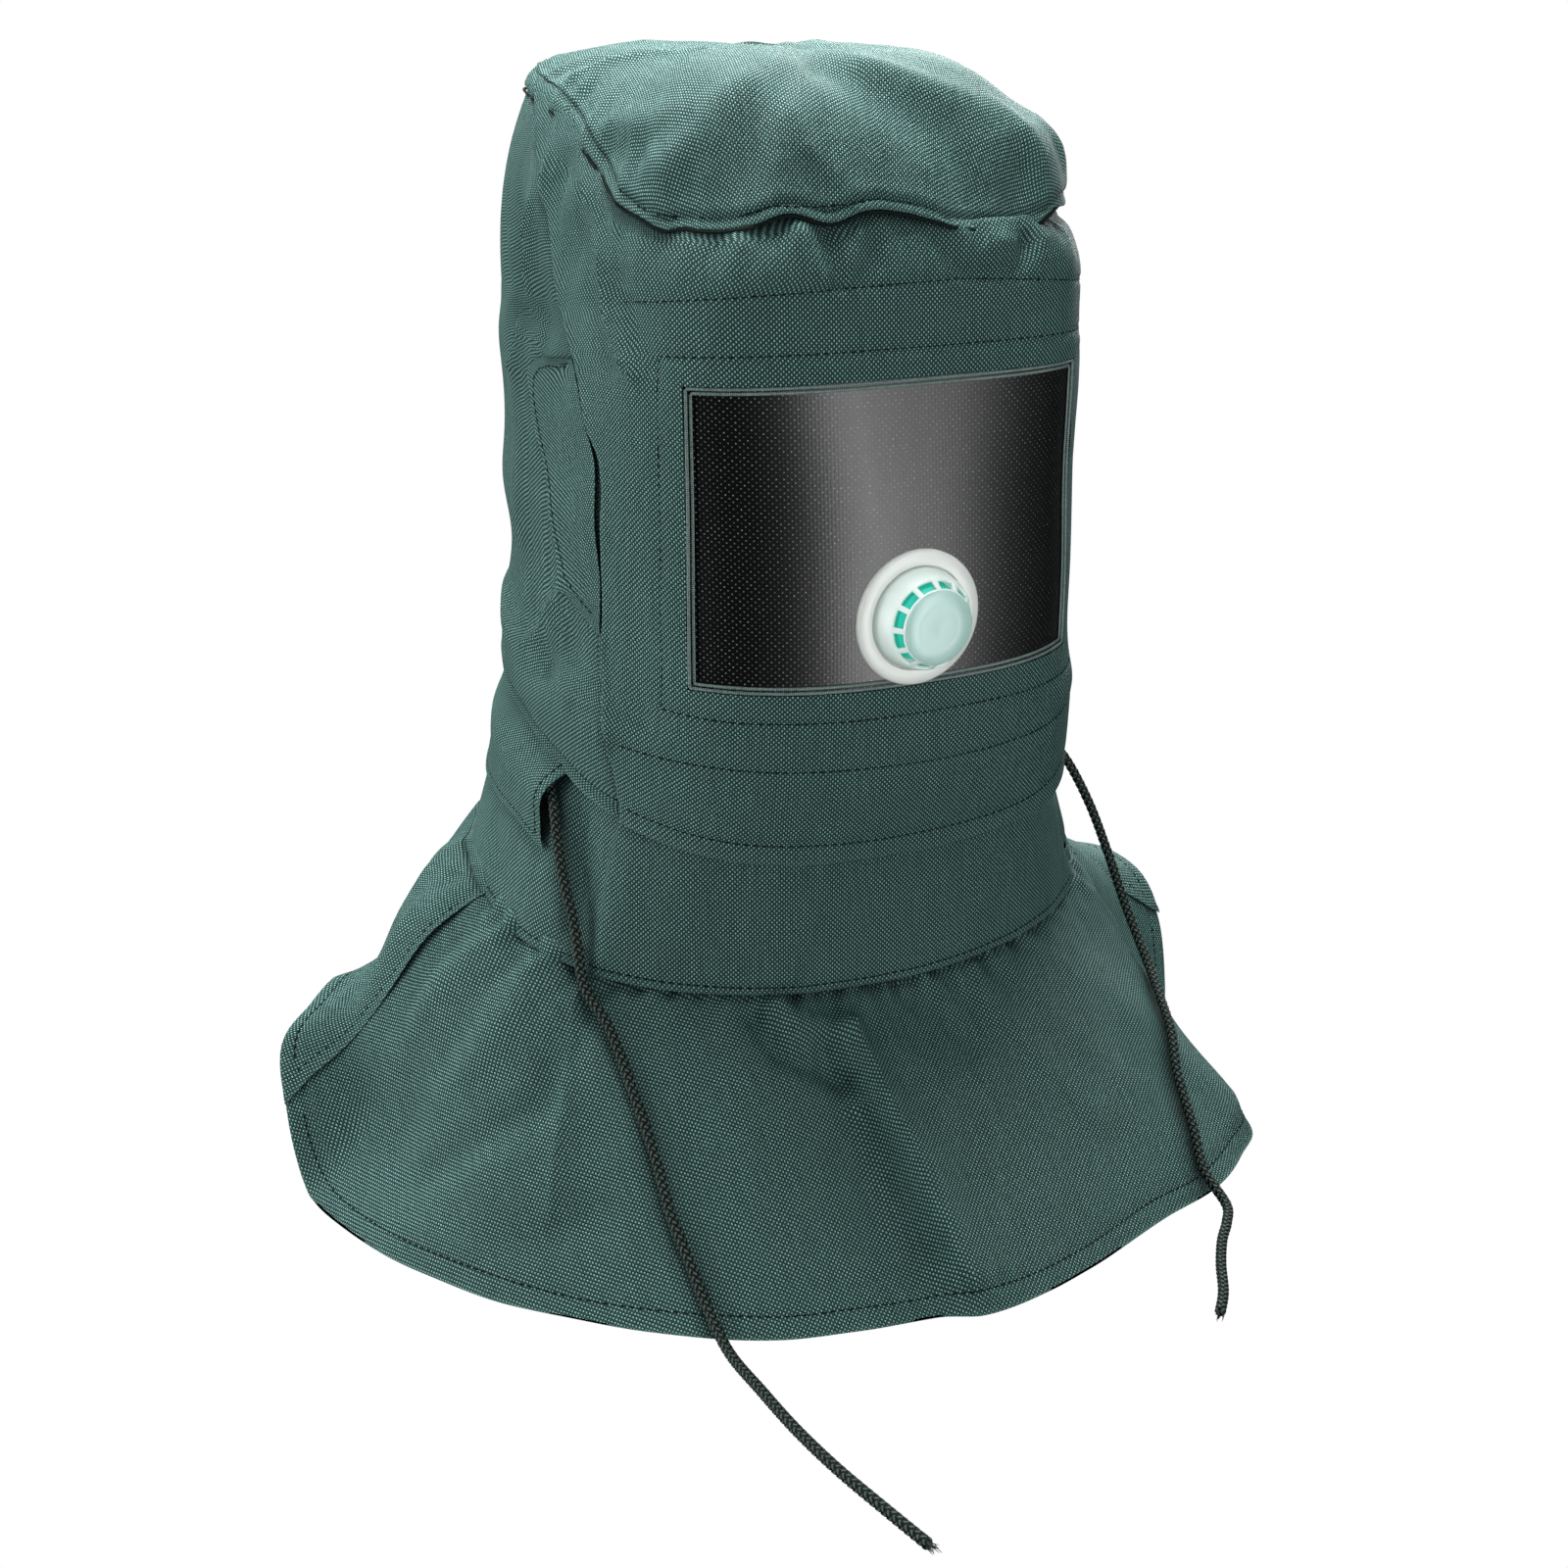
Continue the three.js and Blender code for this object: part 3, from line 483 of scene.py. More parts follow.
def only(obj: bpy.types.Object) -> None:
    """Selects one object and nothing else."""
    if bpy.context.object and bpy.context.object.mode != "OBJECT":
        bpy.ops.object.mode_set(mode="OBJECT")
    bpy.ops.object.select_all(action="DESELECT")
    obj.select_set(True)
    bpy.context.view_layer.objects.active = obj


def shell(
    name: str, outer: np.ndarray, inner: np.ndarray, uv: np.ndarray, closed: bool = False,
    keep: np.ndarray | None = None, apex: tuple[np.ndarray, np.ndarray] | None = None,
) -> bpy.types.Object:
    """Closed sheet of cloth between two grids.

    Args:
        name: Name of the new object.
        outer: Outer points, columns by rows.
        inner: Inner points, columns by rows.
        uv: Flat cloth, with one more column where the grid is closed.
        closed: True where the last column meets the first.
        keep: Cells that are cloth, or None for all.
        apex: Outer and inner point that close the last row.

    Returns:
        The new object.
    """
    m, n = outer.shape[:2]
    cells = m if closed else m - 1
    solid = np.ones((cells, n - 1), bool) if keep is None else keep
    around = np.zeros((cells + 2, n + 1), bool)
    around[1:-1, 1:-1] = solid
    if closed:
        around[0, 1:-1] = solid[-1]
        around[-1, 1:-1] = solid[0]
    above = solid & ~around[1:-1, 2:]
    if apex is not None:
        above[:, -1] = False
    parts = [
        (solid, ((0, 0, 0), (0, 1, 0), (0, 1, 1), (0, 0, 1))),
        (solid, ((1, 0, 0), (1, 0, 1), (1, 1, 1), (1, 1, 0))),
        (solid & ~around[1:-1, :-2], ((0, 0, 0), (1, 0, 0), (1, 1, 0), (0, 1, 0))),
        (above, ((0, 0, 1), (0, 1, 1), (1, 1, 1), (1, 0, 1))),
        (solid & ~around[:-2, 1:-1], ((0, 0, 0), (0, 0, 1), (1, 0, 1), (1, 0, 0))),
        (solid & ~around[2:, 1:-1], ((0, 1, 0), (1, 1, 0), (1, 1, 1), (0, 1, 1))),
    ]
    corners = []
    for mask, offsets in parts:
        ii, jj = np.nonzero(mask)
        quad = [np.stack([np.full_like(ii, side), ii + a, jj + b], -1) for side, a, b in offsets]
        corners.append(np.stack(quad, 1))
    corner = np.concatenate(corners)
    ids = corner[..., 0] * m * n + (corner[..., 1] % m) * n + corner[..., 2]
    points = np.concatenate([outer.reshape(-1, 3), inner.reshape(-1, 3)])
    flat = uv[corner[..., 1], corner[..., 2]].reshape(-1, 2)
    faces: list[list[int]] = ids.tolist()
    if apex is not None:
        top = len(points)
        points = np.concatenate([points, apex[0][None], apex[1][None]])
        centre = uv[:, -1].mean(axis=0)
        extra = []
        for i in range(cells):
            a, b = i * n + n - 1, ((i + 1) % m) * n + n - 1
            faces.append([a, b, top])
            faces.append([b + m * n, a + m * n, top + 1])
            extra += [uv[i, -1], uv[i + 1, -1], centre, uv[i + 1, -1], uv[i, -1], centre]
        flat = np.concatenate([flat, np.array(extra)])
    used = sorted({k for face in faces for k in face})
    number = np.full(len(points), -1)
    number[used] = np.arange(len(used))
    faces = [[int(number[k]) for k in face] for face in faces]
    obj = write_mesh(name, points[used], faces, flat)
    share = edge_share(outer, closed, apex is not None).ravel()
    share = np.concatenate([share, share, [0, 0]])[used]
    values = obj.data.attributes.new("edge", "FLOAT", "POINT")
    values.data.foreach_set("value", share.astype(np.float32))
    return obj


def spaced(start: float, end: float, step: float, fine: float = 0.0) -> np.ndarray:
    """Even values from start to end, with one more just inside both ends.

    Args:
        start: First value.
        end: Last value.
        step: Wanted distance.
        fine: Distance of the extra values from the ends, or 0 for none.

    Returns:
        The values in order.
    """
    values = np.linspace(start, end, max(2, int(round(abs(end - start) / step)) + 1))
    if not fine:
        return values
    sign = 1 if end > start else -1
    return np.concatenate([[start, start + sign * fine], values[1:-1], [end - sign * fine, end]])


def flat_cut(grid: np.ndarray, closed: bool = False) -> np.ndarray:
    """Lays a grid of cloth out flat.

    Args:
        grid: Points in millimetres, columns by rows.
        closed: True where the last column meets the first.

    Returns:
        Places in metres, with one more column where the grid is closed.
    """
    if closed:
        grid = np.concatenate([grid, grid[:1]])
    across = np.linalg.norm(np.diff(grid, axis=0), axis=2)
    u = np.concatenate([np.zeros((1, grid.shape[1])), np.cumsum(across, axis=0)])
    u -= u[len(grid) // 2]
    rows = np.linalg.norm(np.diff(grid, axis=1), axis=2)
    v = np.concatenate([np.zeros((len(grid), 1)), np.cumsum(rows, axis=1)], axis=1)
    return np.stack([u, v], -1) * MM


@dataclass
class ClothPiece:
    """One cut piece of cloth on a surface of the hood."""

    name: str
    surface: Surface
    lift: float
    scale: Pair
    wall: float = 1.2
    sign: float = 1.0
    creases: Sequence[Callable] = ()
    object: bpy.types.Object | None = None
    area: float = 0.0
    extent: Pair = (1.0, 1.0)

    def height(self, angle: np.ndarray, level: np.ndarray) -> np.ndarray:
        """Height of the outer face over the surface, creases included."""
        total = np.full(np.shape(angle), self.lift, float)
        for crease in self.creases:
            total = total + crease(angle, level, self.scale)
        return total

    def normal(self, angle: np.ndarray, level: np.ndarray) -> np.ndarray:
        """Outward direction of the smooth surface."""
        da, dl = 0.5, 0.01
        du = self.surface(angle + da, level) - self.surface(angle - da, level)
        dv = self.surface(angle, level + dl) - self.surface(angle, level - dl)
        n = np.cross(du, dv) * self.sign
        return n / np.maximum(np.linalg.norm(n, axis=-1, keepdims=True), 1e-9)

    def outer(self, angle: np.ndarray, level: np.ndarray) -> tuple[np.ndarray, np.ndarray]:
        """Points of the outer face and their directions."""
        angle, level = np.broadcast_arrays(np.asarray(angle, float), np.asarray(level, float))
        n = self.normal(angle, level)
        return self.surface(angle, level) + n * self.height(angle, level)[..., None], n

    def build(
        self, angle: np.ndarray, level: np.ndarray, closed: bool = False, keep: np.ndarray | None = None,
        uv: np.ndarray | None = None, rolled: float = 0.35, capped: bool = False, floor: bool = False,
    ) -> bpy.types.Object:
        """Makes the piece's mesh.

        Args:
            angle: Angles of the grid, columns by rows.
            level: Levels of the grid, columns by rows.
            closed: True for a ring.
            keep: Cells that are cloth.
            uv: Flat cut, or None for a plain one.
            rolled: Share of the wall that an edge turns in.
            capped: True where the last row closes to a point.
            floor: True where no point may lie below the floor.

        Returns:
            The new object.
        """
        out, n = self.outer(angle, level)
        inner = out - n * self.wall
        middle = (out + inner) / 2
        rows = [0] if capped else [0, -1]
        for j in rows:
            out[:, j] = middle[:, j] + (out - middle)[:, j] * (1 - 2 * rolled)
            inner[:, j] = middle[:, j] + (inner - middle)[:, j] * (1 - 2 * rolled)
        if not closed:
            for i in (0, -1):
                out[i] = middle[i] + (out - middle)[i] * (1 - 2 * rolled)
                inner[i] = middle[i] + (inner - middle)[i] * (1 - 2 * rolled)
        if floor:
            down = self.surface(angle, level)[..., 2] < 0.05
            out[..., 2] = np.where(down, 0, np.maximum(out[..., 2], 0))
            inner[..., 2] = np.where(down, 0, np.maximum(inner[..., 2], 0))
        flat = flat_cut(out, closed) if uv is None else uv
        apex = None
        if capped:
            top = out[:, -1].mean(axis=0)
            apex = (top, top - np.array([0, 0, self.wall]))
        self.object = shell(self.name, out, inner, flat, closed, keep, apex)
        self.measure(middle, closed, keep)
        span = flat.reshape(-1, 2).max(axis=0) - flat.reshape(-1, 2).min(axis=0)
        self.extent = (float(span[0]), float(span[1]))
        return self.object

    def measure(self, grid: np.ndarray, closed: bool, keep: np.ndarray | None) -> None:
        """Keeps the area of the cloth in square metres."""
        if closed:
            grid = np.concatenate([grid, grid[:1]])
        a, b = grid[1:, :-1] - grid[:-1, :-1], grid[:-1, 1:] - grid[:-1, :-1]
        c, d = grid[1:, :-1] - grid[1:, 1:], grid[:-1, 1:] - grid[1:, 1:]
        cells = (np.linalg.norm(np.cross(a, b), axis=-1) + np.linalg.norm(np.cross(c, d), axis=-1)) / 2
        self.area = float(cells[keep].sum() if keep is not None else cells.sum()) * MM * MM

    def declare(self, held: str, rests_on: Sequence[str] = ()) -> None:
        """Logs the size of the flat cut and the area of the sheet."""
        width, length = self.extent
        short = self.area / (width * length)
        if short > 1:
            width *= short * 1.002
        LOG.info("%s: %.3f x %.3f m, %.4f m2", self.name, width, length, self.area)


@dataclass
class Stitching:
    """Rows of thread that lie on the cloth."""

    name: str
    pitch: float = 4.1
    length: float = 3.8
    radius: float = 0.43
    lift: float = 0.05
    dive: float = 1.2
    sides: int = 6
    points: list[np.ndarray] = field(default_factory=list)
    faces: list[list[int]] = field(default_factory=list)
    count: int = 0

    def row(self, piece: ClothPiece, path: Sequence[Pair], closed: bool = False) -> None:
        """Adds one row along a path on a piece.

        Args:
            piece: Cloth that the row is sewn on.
            path: Angle and level of its corners.
            closed: True where the row comes back to its start.
        """
        line = np.array(list(path) + ([path[0]] if closed else []), float)
        stretches = [np.linspace(0, 1, 60, endpoint=False) + k for k in range(len(line) - 1)]
        steps = np.concatenate(stretches + [[len(line) - 1]])
        angle = np.interp(steps, np.arange(len(line)), line[:, 0])
        level = np.interp(steps, np.arange(len(line)), line[:, 1])
        p, n = piece.outer(angle, level)
        self.along(p + n * self.lift, n)

    def along(self, p: np.ndarray, n: np.ndarray) -> None:
        """Adds stitches along a line of points.

        Args:
            p: Points in millimetres.
            n: Direction out of the cloth at each point.
        """
        s = np.concatenate([[0], np.cumsum(np.linalg.norm(np.diff(p, axis=0), axis=1))])
        number = max(1, int(s[-1] / self.pitch))
        gap = s[-1] / number
        at = (np.arange(number) + 0.5) * gap

        def read(q: np.ndarray, values: np.ndarray) -> np.ndarray:
            """Values at distances q along the row."""
            return np.stack([np.interp(q, s, values[:, k]) for k in range(3)], -1)

        middle, up = read(at, p), read(at, n)
        ahead = read(at + self.length / 2, p) - read(at - self.length / 2, p)
        ahead /= np.maximum(np.linalg.norm(ahead, axis=-1, keepdims=True), 1e-9)
        side = np.cross(ahead, up)
        side /= np.maximum(np.linalg.norm(side, axis=-1, keepdims=True), 1e-9)
        stations = ((-0.5, 0.0), (-0.42, 0.62), (0.0, 1.0), (0.42, 0.62), (0.5, 0.0))
        for k in range(number):
            base = self.count
            ring_points = []
            for place, share in stations:
                centre = middle[k] + ahead[k] * place * self.length - up[k] * (abs(place) ** 2) * self.dive
                if share == 0:
                    ring_points.append(centre)
                    continue
                for i in range(self.sides):
                    a = 2 * math.pi * i / self.sides
                    out = side[k] * math.cos(a) + up[k] * math.sin(a)
                    ring_points.append(centre + out * self.radius * share)
            self.points.append(np.array(ring_points))
            first, last = base, base + 3 * self.sides + 1
            for i in range(self.sides):
                j = (i + 1) % self.sides
                self.faces.append([first, base + 1 + j, base + 1 + i])
                for ring in range(2):
                    a = base + 1 + ring * self.sides
                    self.faces.append([a + i, a + j, a + self.sides + j, a + self.sides + i])
                self.faces.append([last - self.sides + i, last - self.sides + j, last])
            self.count += len(ring_points)

    def line(self, piece: ClothPiece, path: Sequence[Pair], lift: float) -> None:
        """Adds one unbroken thread along a path on a piece.

        Args:
            piece: Cloth that the thread lies on.
            path: Angle and level of its corners.
            lift: Height of the thread over the cloth.
        """
        corners = np.array(list(path), float)
        steps = np.linspace(0, len(corners) - 1, 8 * (len(corners) - 1) + 1)
        angle = np.interp(steps, np.arange(len(corners)), corners[:, 0])
        level = np.interp(steps, np.arange(len(corners)), corners[:, 1])
        p, up = piece.outer(angle, level)
        p = p + up * lift
        ahead = np.gradient(p, axis=0)
        ahead /= np.maximum(np.linalg.norm(ahead, axis=1, keepdims=True), 1e-9)
        side = np.cross(ahead, up)
        side /= np.maximum(np.linalg.norm(side, axis=1, keepdims=True), 1e-9)
        turn = 2 * math.pi * np.arange(self.sides) / self.sides
        out = side[:, None] * np.cos(turn)[None, :, None] + up[:, None] * np.sin(turn)[None, :, None]
        ring = p[:, None] + out * self.radius
        base, m, n = self.count, len(p), self.sides
        for k in range(m - 1):
            low, high = base + k * n, base + (k + 1) * n
            for i in range(n):
                j = (i + 1) % n
                self.faces.append([low + i, low + j, high + j, high + i])
        self.faces.append([base + i for i in range(n)][::-1])
        self.faces.append([base + (m - 1) * n + i for i in range(n)])
        self.points.append(ring.reshape(-1, 3))
        self.count += m * n

    def finish(self) -> bpy.types.Object:
        """Makes the mesh of all rows, its faces turned outward."""
        obj = write_mesh(self.name, np.concatenate(self.points), self.faces)
        turn_outward(obj)
        return obj


def turn_outward(obj: bpy.types.Object) -> None:
    """Merges doubles and makes the faces of closed shapes point outward."""
    only(obj)
    bpy.ops.object.mode_set(mode="EDIT")
    bpy.ops.mesh.select_all(action="SELECT")
    bpy.ops.mesh.remove_doubles(threshold=1e-6)
    bpy.ops.mesh.normals_make_consistent(inside=False)
    bpy.ops.object.mode_set(mode="OBJECT")


@dataclass
class NodeSheet:
    """Node tree of one material, with short ways to add nodes."""

    name: str
    material: bpy.types.Material = field(init=False)

    def __post_init__(self) -> None:
        """Starts the material with its shader."""
        self.material = bpy.data.materials.new(self.name)
        self.material.use_nodes = True
        self.tree = self.material.node_tree
        self.shader = self.tree.nodes["Principled BSDF"]

    def add(self, kind: str, **settings: object) -> bpy.types.Node:
        """Adds a node.

        Args:
            kind: Blender's name of the node type.
            settings: Properties of the node.

        Returns:
            The node.
        """
        node = self.tree.nodes.new(kind)
        for key, value in settings.items():
            setattr(node, key, value)
        return node

    def put(self, socket: bpy.types.NodeSocket, value: object) -> None:
        """Links an output to a socket, or sets the socket's value."""
        if isinstance(value, bpy.types.NodeSocket):
            self.tree.links.new(value, socket)
        else:
            socket.default_value = value

    def math(self, operation: str, a: object, b: object = 0.0, c: object = 0.0) -> bpy.types.NodeSocket:
        """Result of a math node."""
        node = self.add("ShaderNodeMath", operation=operation)
        for socket, value in zip(node.inputs, (a, b, c)):
            self.put(socket, value)
        return node.outputs[0]

    def mix(self, share: object, a: object, b: object) -> bpy.types.NodeSocket:
        """Mix of two colours."""
        node = self.add("ShaderNodeMix", data_type="RGBA")
        self.put(node.inputs["Factor"], share)
        self.put(node.inputs[6], a)
        self.put(node.inputs[7], b)
        return node.outputs[2]

    def noise(self, vector: object, scale: float, detail: float = 2.0) -> bpy.types.NodeSocket:
        """Noise value."""
        node = self.add("ShaderNodeTexNoise")
        self.put(node.inputs["Vector"], vector)
        node.inputs["Scale"].default_value = scale
        node.inputs["Detail"].default_value = detail
        return node.outputs[0]

    def stretched(self, vector: object, scale: tuple[float, float, float]) -> bpy.types.NodeSocket:
        """Coordinates scaled along each axis."""
        node = self.add("ShaderNodeMapping")
        self.put(node.inputs["Vector"], vector)
        node.inputs["Scale"].default_value = scale
        return node.outputs[0]

    def place(self, kind: str = "UV") -> bpy.types.NodeSocket:
        """Texture coordinates of the piece."""
        return self.add("ShaderNodeTexCoord").outputs[kind]

    def bump(self, height: object, distance: float) -> None:
        """Adds relief to the shader."""
        node = self.add("ShaderNodeBump")
        node.inputs["Distance"].default_value = distance
        node.inputs["Strength"].default_value = 1.0
        self.put(node.inputs["Height"], height)
        self.put(self.shader.inputs["Normal"], node.outputs[0])

    def set(self, **values: object) -> None:
        """Sets sockets of the shader, with _ for a blank in their names."""
        for key, value in values.items():
            self.put(self.shader.inputs[key.replace("_", " ")], value)


@dataclass(frozen=True)
class CoatedWeave:
    """Coarse plain weave of polyester thread."""

    name: str = "hood_cloth"
    pitch: float = 1.15 * MM
    deep: tuple[float, float, float, float] = (0.006, 0.017, 0.0152, 1)
    warp: tuple[float, float, float, float] = (0.285, 0.530, 0.490, 1)
    weft: tuple[float, float, float, float] = (0.030, 0.078, 0.0715, 1)
    # Lighter colour of the cut edges, partly wear and partly a painted highlight on the rolled edges.
    wear_and_highlight: tuple[float, float, float, float] = (0.105, 0.195, 0.180, 1)
    # Near-black mixed in by ambient occlusion in creases, under edges and between parts: painted shade.
    painted_shade: tuple[float, float, float, float] = (0.001, 0.004, 0.0034, 1)
    relief: float = 0.36 * MM
    nook: float = 11 * MM
    slub: tuple[float, float, float] = (900, 40, 1)

    def make(self) -> bpy.types.Material:
        """Builds the material.

        Returns:
            The material.
        """
        s = NodeSheet(self.name)
        uv = s.place()
        split = s.add("ShaderNodeSeparateXYZ")
        s.put(split.inputs[0], uv)
        a = s.math("SINE", s.math("MULTIPLY", split.outputs[0], math.pi / self.pitch))
        b = s.math("SINE", s.math("MULTIPLY", split.outputs[1], math.pi / self.pitch))
        on_top = s.math("GREATER_THAN", s.math("MULTIPLY", a, b), 0.0)
        across, along = s.math("ABSOLUTE", a), s.math("ABSOLUTE", b)
        warp = s.math("MULTIPLY", across, s.math("MULTIPLY_ADD", along, 0.5, 0.5))
        weft = s.math("MULTIPLY", along, s.math("MULTIPLY_ADD", across, 0.5, 0.5))
        height = s.math(
            "ADD", s.math("MULTIPLY", warp, on_top), s.math("MULTIPLY", weft, s.math("SUBTRACT", 1.0, on_top))
        )
        fine, coarse, flat = self.slub
        slub_warp = s.noise(s.stretched(uv, (fine, coarse, flat)), 1.0)
        slub_weft = s.noise(s.stretched(uv, (coarse, fine, flat)), 1.0)
        tone = s.mix(on_top, self.weft, self.warp)
        slub = s.math(
            "ADD", s.math("MULTIPLY", slub_warp, on_top),
            s.math("MULTIPLY", slub_weft, s.math("SUBTRACT", 1.0, on_top)),
        )
        lit = s.math("MULTIPLY", s.math("POWER", height, 1.9), s.math("MULTIPLY_ADD", slub, 0.9, 0.45))
        cloud = s.noise(s.place("Object"), 14.0, 3.0)
        lit = s.math("MULTIPLY", lit, s.math("MULTIPLY_ADD", cloud, 0.3, 0.85))
        # Cut edges are mixed towards the lighter edge colour: partly wear, partly painted highlight.
        edge = s.add("ShaderNodeAttribute", attribute_name="edge").outputs["Fac"]
        wear_and_highlight = s.mix(s.math("MULTIPLY", edge, 0.35), s.mix(lit, self.deep, tone), self.wear_and_highlight)
        # Ambient occlusion darkens the colour where cloth is tucked under or folded: painted shade.
        shade = s.add("ShaderNodeAmbientOcclusion", samples=6)
        shade.inputs["Distance"].default_value = self.nook
        clear = s.math("MULTIPLY_ADD", s.math("POWER", shade.outputs["AO"], 1.8), 0.85, 0.15)
        s.set(Base_Color=s.mix(clear, self.painted_shade, wear_and_highlight))
        s.set(Roughness=s.math("MULTIPLY_ADD", height, -0.16, 0.66))
        s.shader.inputs["Specular IOR Level"].default_value = 0.05
        s.bump(height, self.relief)
        return s.material


@dataclass(frozen=True)
class Thread:
    """Dark sewing thread."""

    name: str = "stitch_thread"

    def make(self) -> bpy.types.Material:
        """Builds the material, a twisted thread."""
        s = NodeSheet(self.name)
        twist = s.noise(s.stretched(s.place("Object"), (2600, 2600, 2600)), 1.0)
        s.set(Base_Color=s.mix(twist, (0.0005, 0.0025, 0.0021, 1), (0.003, 0.010, 0.008, 1)), Roughness=0.7)
        s.shader.inputs["Specular IOR Level"].default_value = 0.08
        s.bump(twist, 0.05 * MM)
        return s.material


@dataclass(frozen=True)
class BoundEdge:
    """Narrow ribbed tape round the window."""

    name: str = "window_tape"

    def make(self) -> bpy.types.Material:
        """Builds the material, ribs across the tape."""
        s = NodeSheet(self.name)
        split = s.add("ShaderNodeSeparateXYZ")
        s.put(split.inputs[0], s.place())
        rib = s.math("ABSOLUTE", s.math("SINE", s.math("MULTIPLY", split.outputs[0], math.pi / (0.9 * MM))))
        grain = s.noise(s.place("Object"), 700.0)
        share = s.math("MULTIPLY", rib, grain)
        s.set(Base_Color=s.mix(share, (0.02, 0.04, 0.036, 1), (0.24, 0.36, 0.335, 1)))
        s.set(Roughness=s.math("MULTIPLY_ADD", grain, 0.3, 0.4))
        s.bump(rib, 0.12 * MM)
        return s.material


@dataclass(frozen=True)
class VisorFilm:
    """Glossy film with a lattice of fine pale dots, its near-black ground painted shade: the shaded inside of
    the hood seen through a clear visor.
    """

    name: str = "visor_film"
    column: float = 3.4 * MM
    row: float = 3.0 * MM
    dot: float = 0.34 * MM

    def lattice(self, s: NodeSheet, shift: float) -> bpy.types.NodeSocket:
        """Dots of one of the two interleaved lattices."""
        split = s.add("ShaderNodeSeparateXYZ")
        s.put(split.inputs[0], s.place())
        offsets = []
        for output, pitch in ((split.outputs[0], self.column), (split.outputs[1], self.row)):
            cell = s.math("FRACT", s.math("ADD", s.math("DIVIDE", output, pitch), shift))
            offsets.append(s.math("MULTIPLY", s.math("SUBTRACT", cell, 0.5), pitch))
        squares = [s.math("POWER", offset, 2.0) for offset in offsets]
        return s.math("LESS_THAN", s.math("SQRT", s.math("ADD", *squares)), self.dot)

    def make(self) -> bpy.types.Material:
        """Builds the material."""
        s = NodeSheet(self.name)
        dots = s.math("MAXIMUM", self.lattice(s, 0.0), self.lattice(s, 0.5))
        patchy = s.math("POWER", s.noise(s.place(), 420.0, 1.0), 2.2)
        split = s.add("ShaderNodeSeparateXYZ")
        s.put(split.inputs[0], s.place())
        reed = s.math("ABSOLUTE", s.math("SINE", s.math("MULTIPLY", split.outputs[0], math.pi / (1.7 * MM))))
        share = s.math("MULTIPLY", dots, s.math("MULTIPLY", patchy, 1.5))
        # Near-black ground: painted shade of the hood's inside behind the clear visor.
        painted_inside_shade = s.mix(reed, (0.0008, 0.0010, 0.0010, 1), (0.0022, 0.0026, 0.0025, 1))
        s.set(Base_Color=s.mix(share, painted_inside_shade, (0.30, 0.36, 0.35, 1)))
        haze = s.noise(s.stretched(s.place(), (90, 22, 1)), 1.0)
        s.set(Roughness=s.math("MULTIPLY_ADD", haze, 0.05, 0.37))
        s.shader.inputs["Specular IOR Level"].default_value = 0.3
        s.bump(s.math("ADD", reed, s.math("MULTIPLY", dots, 2.0)), 0.02 * MM)
        return s.material


@dataclass(frozen=True)
class FrostedPlastic:
    """Translucent moulded plastic."""

    name: str
    color: tuple[float, float, float, float]
    shade: tuple[float, float, float, float]
    roughness: float = 0.42
    depth: float = 0.5
    glow: float = 0.0

    def make(self) -> bpy.types.Material:
        """Builds the material."""
        s = NodeSheet(self.name)
        cloud = s.noise(s.place("Object"), 60.0, 3.0)
        fine = s.noise(s.place("Object"), 1500.0)
        s.set(Base_Color=s.mix(cloud, self.shade, self.color))
        s.set(Roughness=s.math("MULTIPLY_ADD", fine, 0.12, self.roughness - 0.06))
        s.shader.inputs["Subsurface Weight"].default_value = self.depth
        s.shader.inputs["Subsurface Radius"].default_value = (0.004, 0.005, 0.005)
        s.shader.inputs["Subsurface Scale"].default_value = 1.0
        # Emission stands in for light passing through the translucent plastic: painted light.
        s.shader.inputs["Emission Color"].default_value = self.color
        s.shader.inputs["Emission Strength"].default_value = self.glow
        s.bump(fine, 0.02 * MM)
        return s.material


@dataclass(frozen=True)
class BraidedCord:
    """Round dark green braid whose strands catch the light."""

    name: str = "cord_braid"

    def make(self) -> bpy.types.Material:
        """Builds the material from the mesh's strand height."""
        s = NodeSheet(self.name)
        strand = s.add("ShaderNodeAttribute", attribute_name="strand").outputs["Fac"]
        fibre = s.noise(s.place("Object"), 1900.0)
        # Strand crowns are painted lighter, a painted highlight broken by fibre flecks.
        top = s.math("MULTIPLY", s.math("POWER", strand, 8.0), s.math("MULTIPLY_ADD", fibre, 1.4, 0.1))
        s.set(Base_Color=s.mix(top, (0.0004, 0.0014, 0.0012, 1), (0.085, 0.135, 0.115, 1)), Roughness=0.6)
        s.shader.inputs["Specular IOR Level"].default_value = 0.1
        s.bump(fibre, 0.08 * MM)
        return s.material


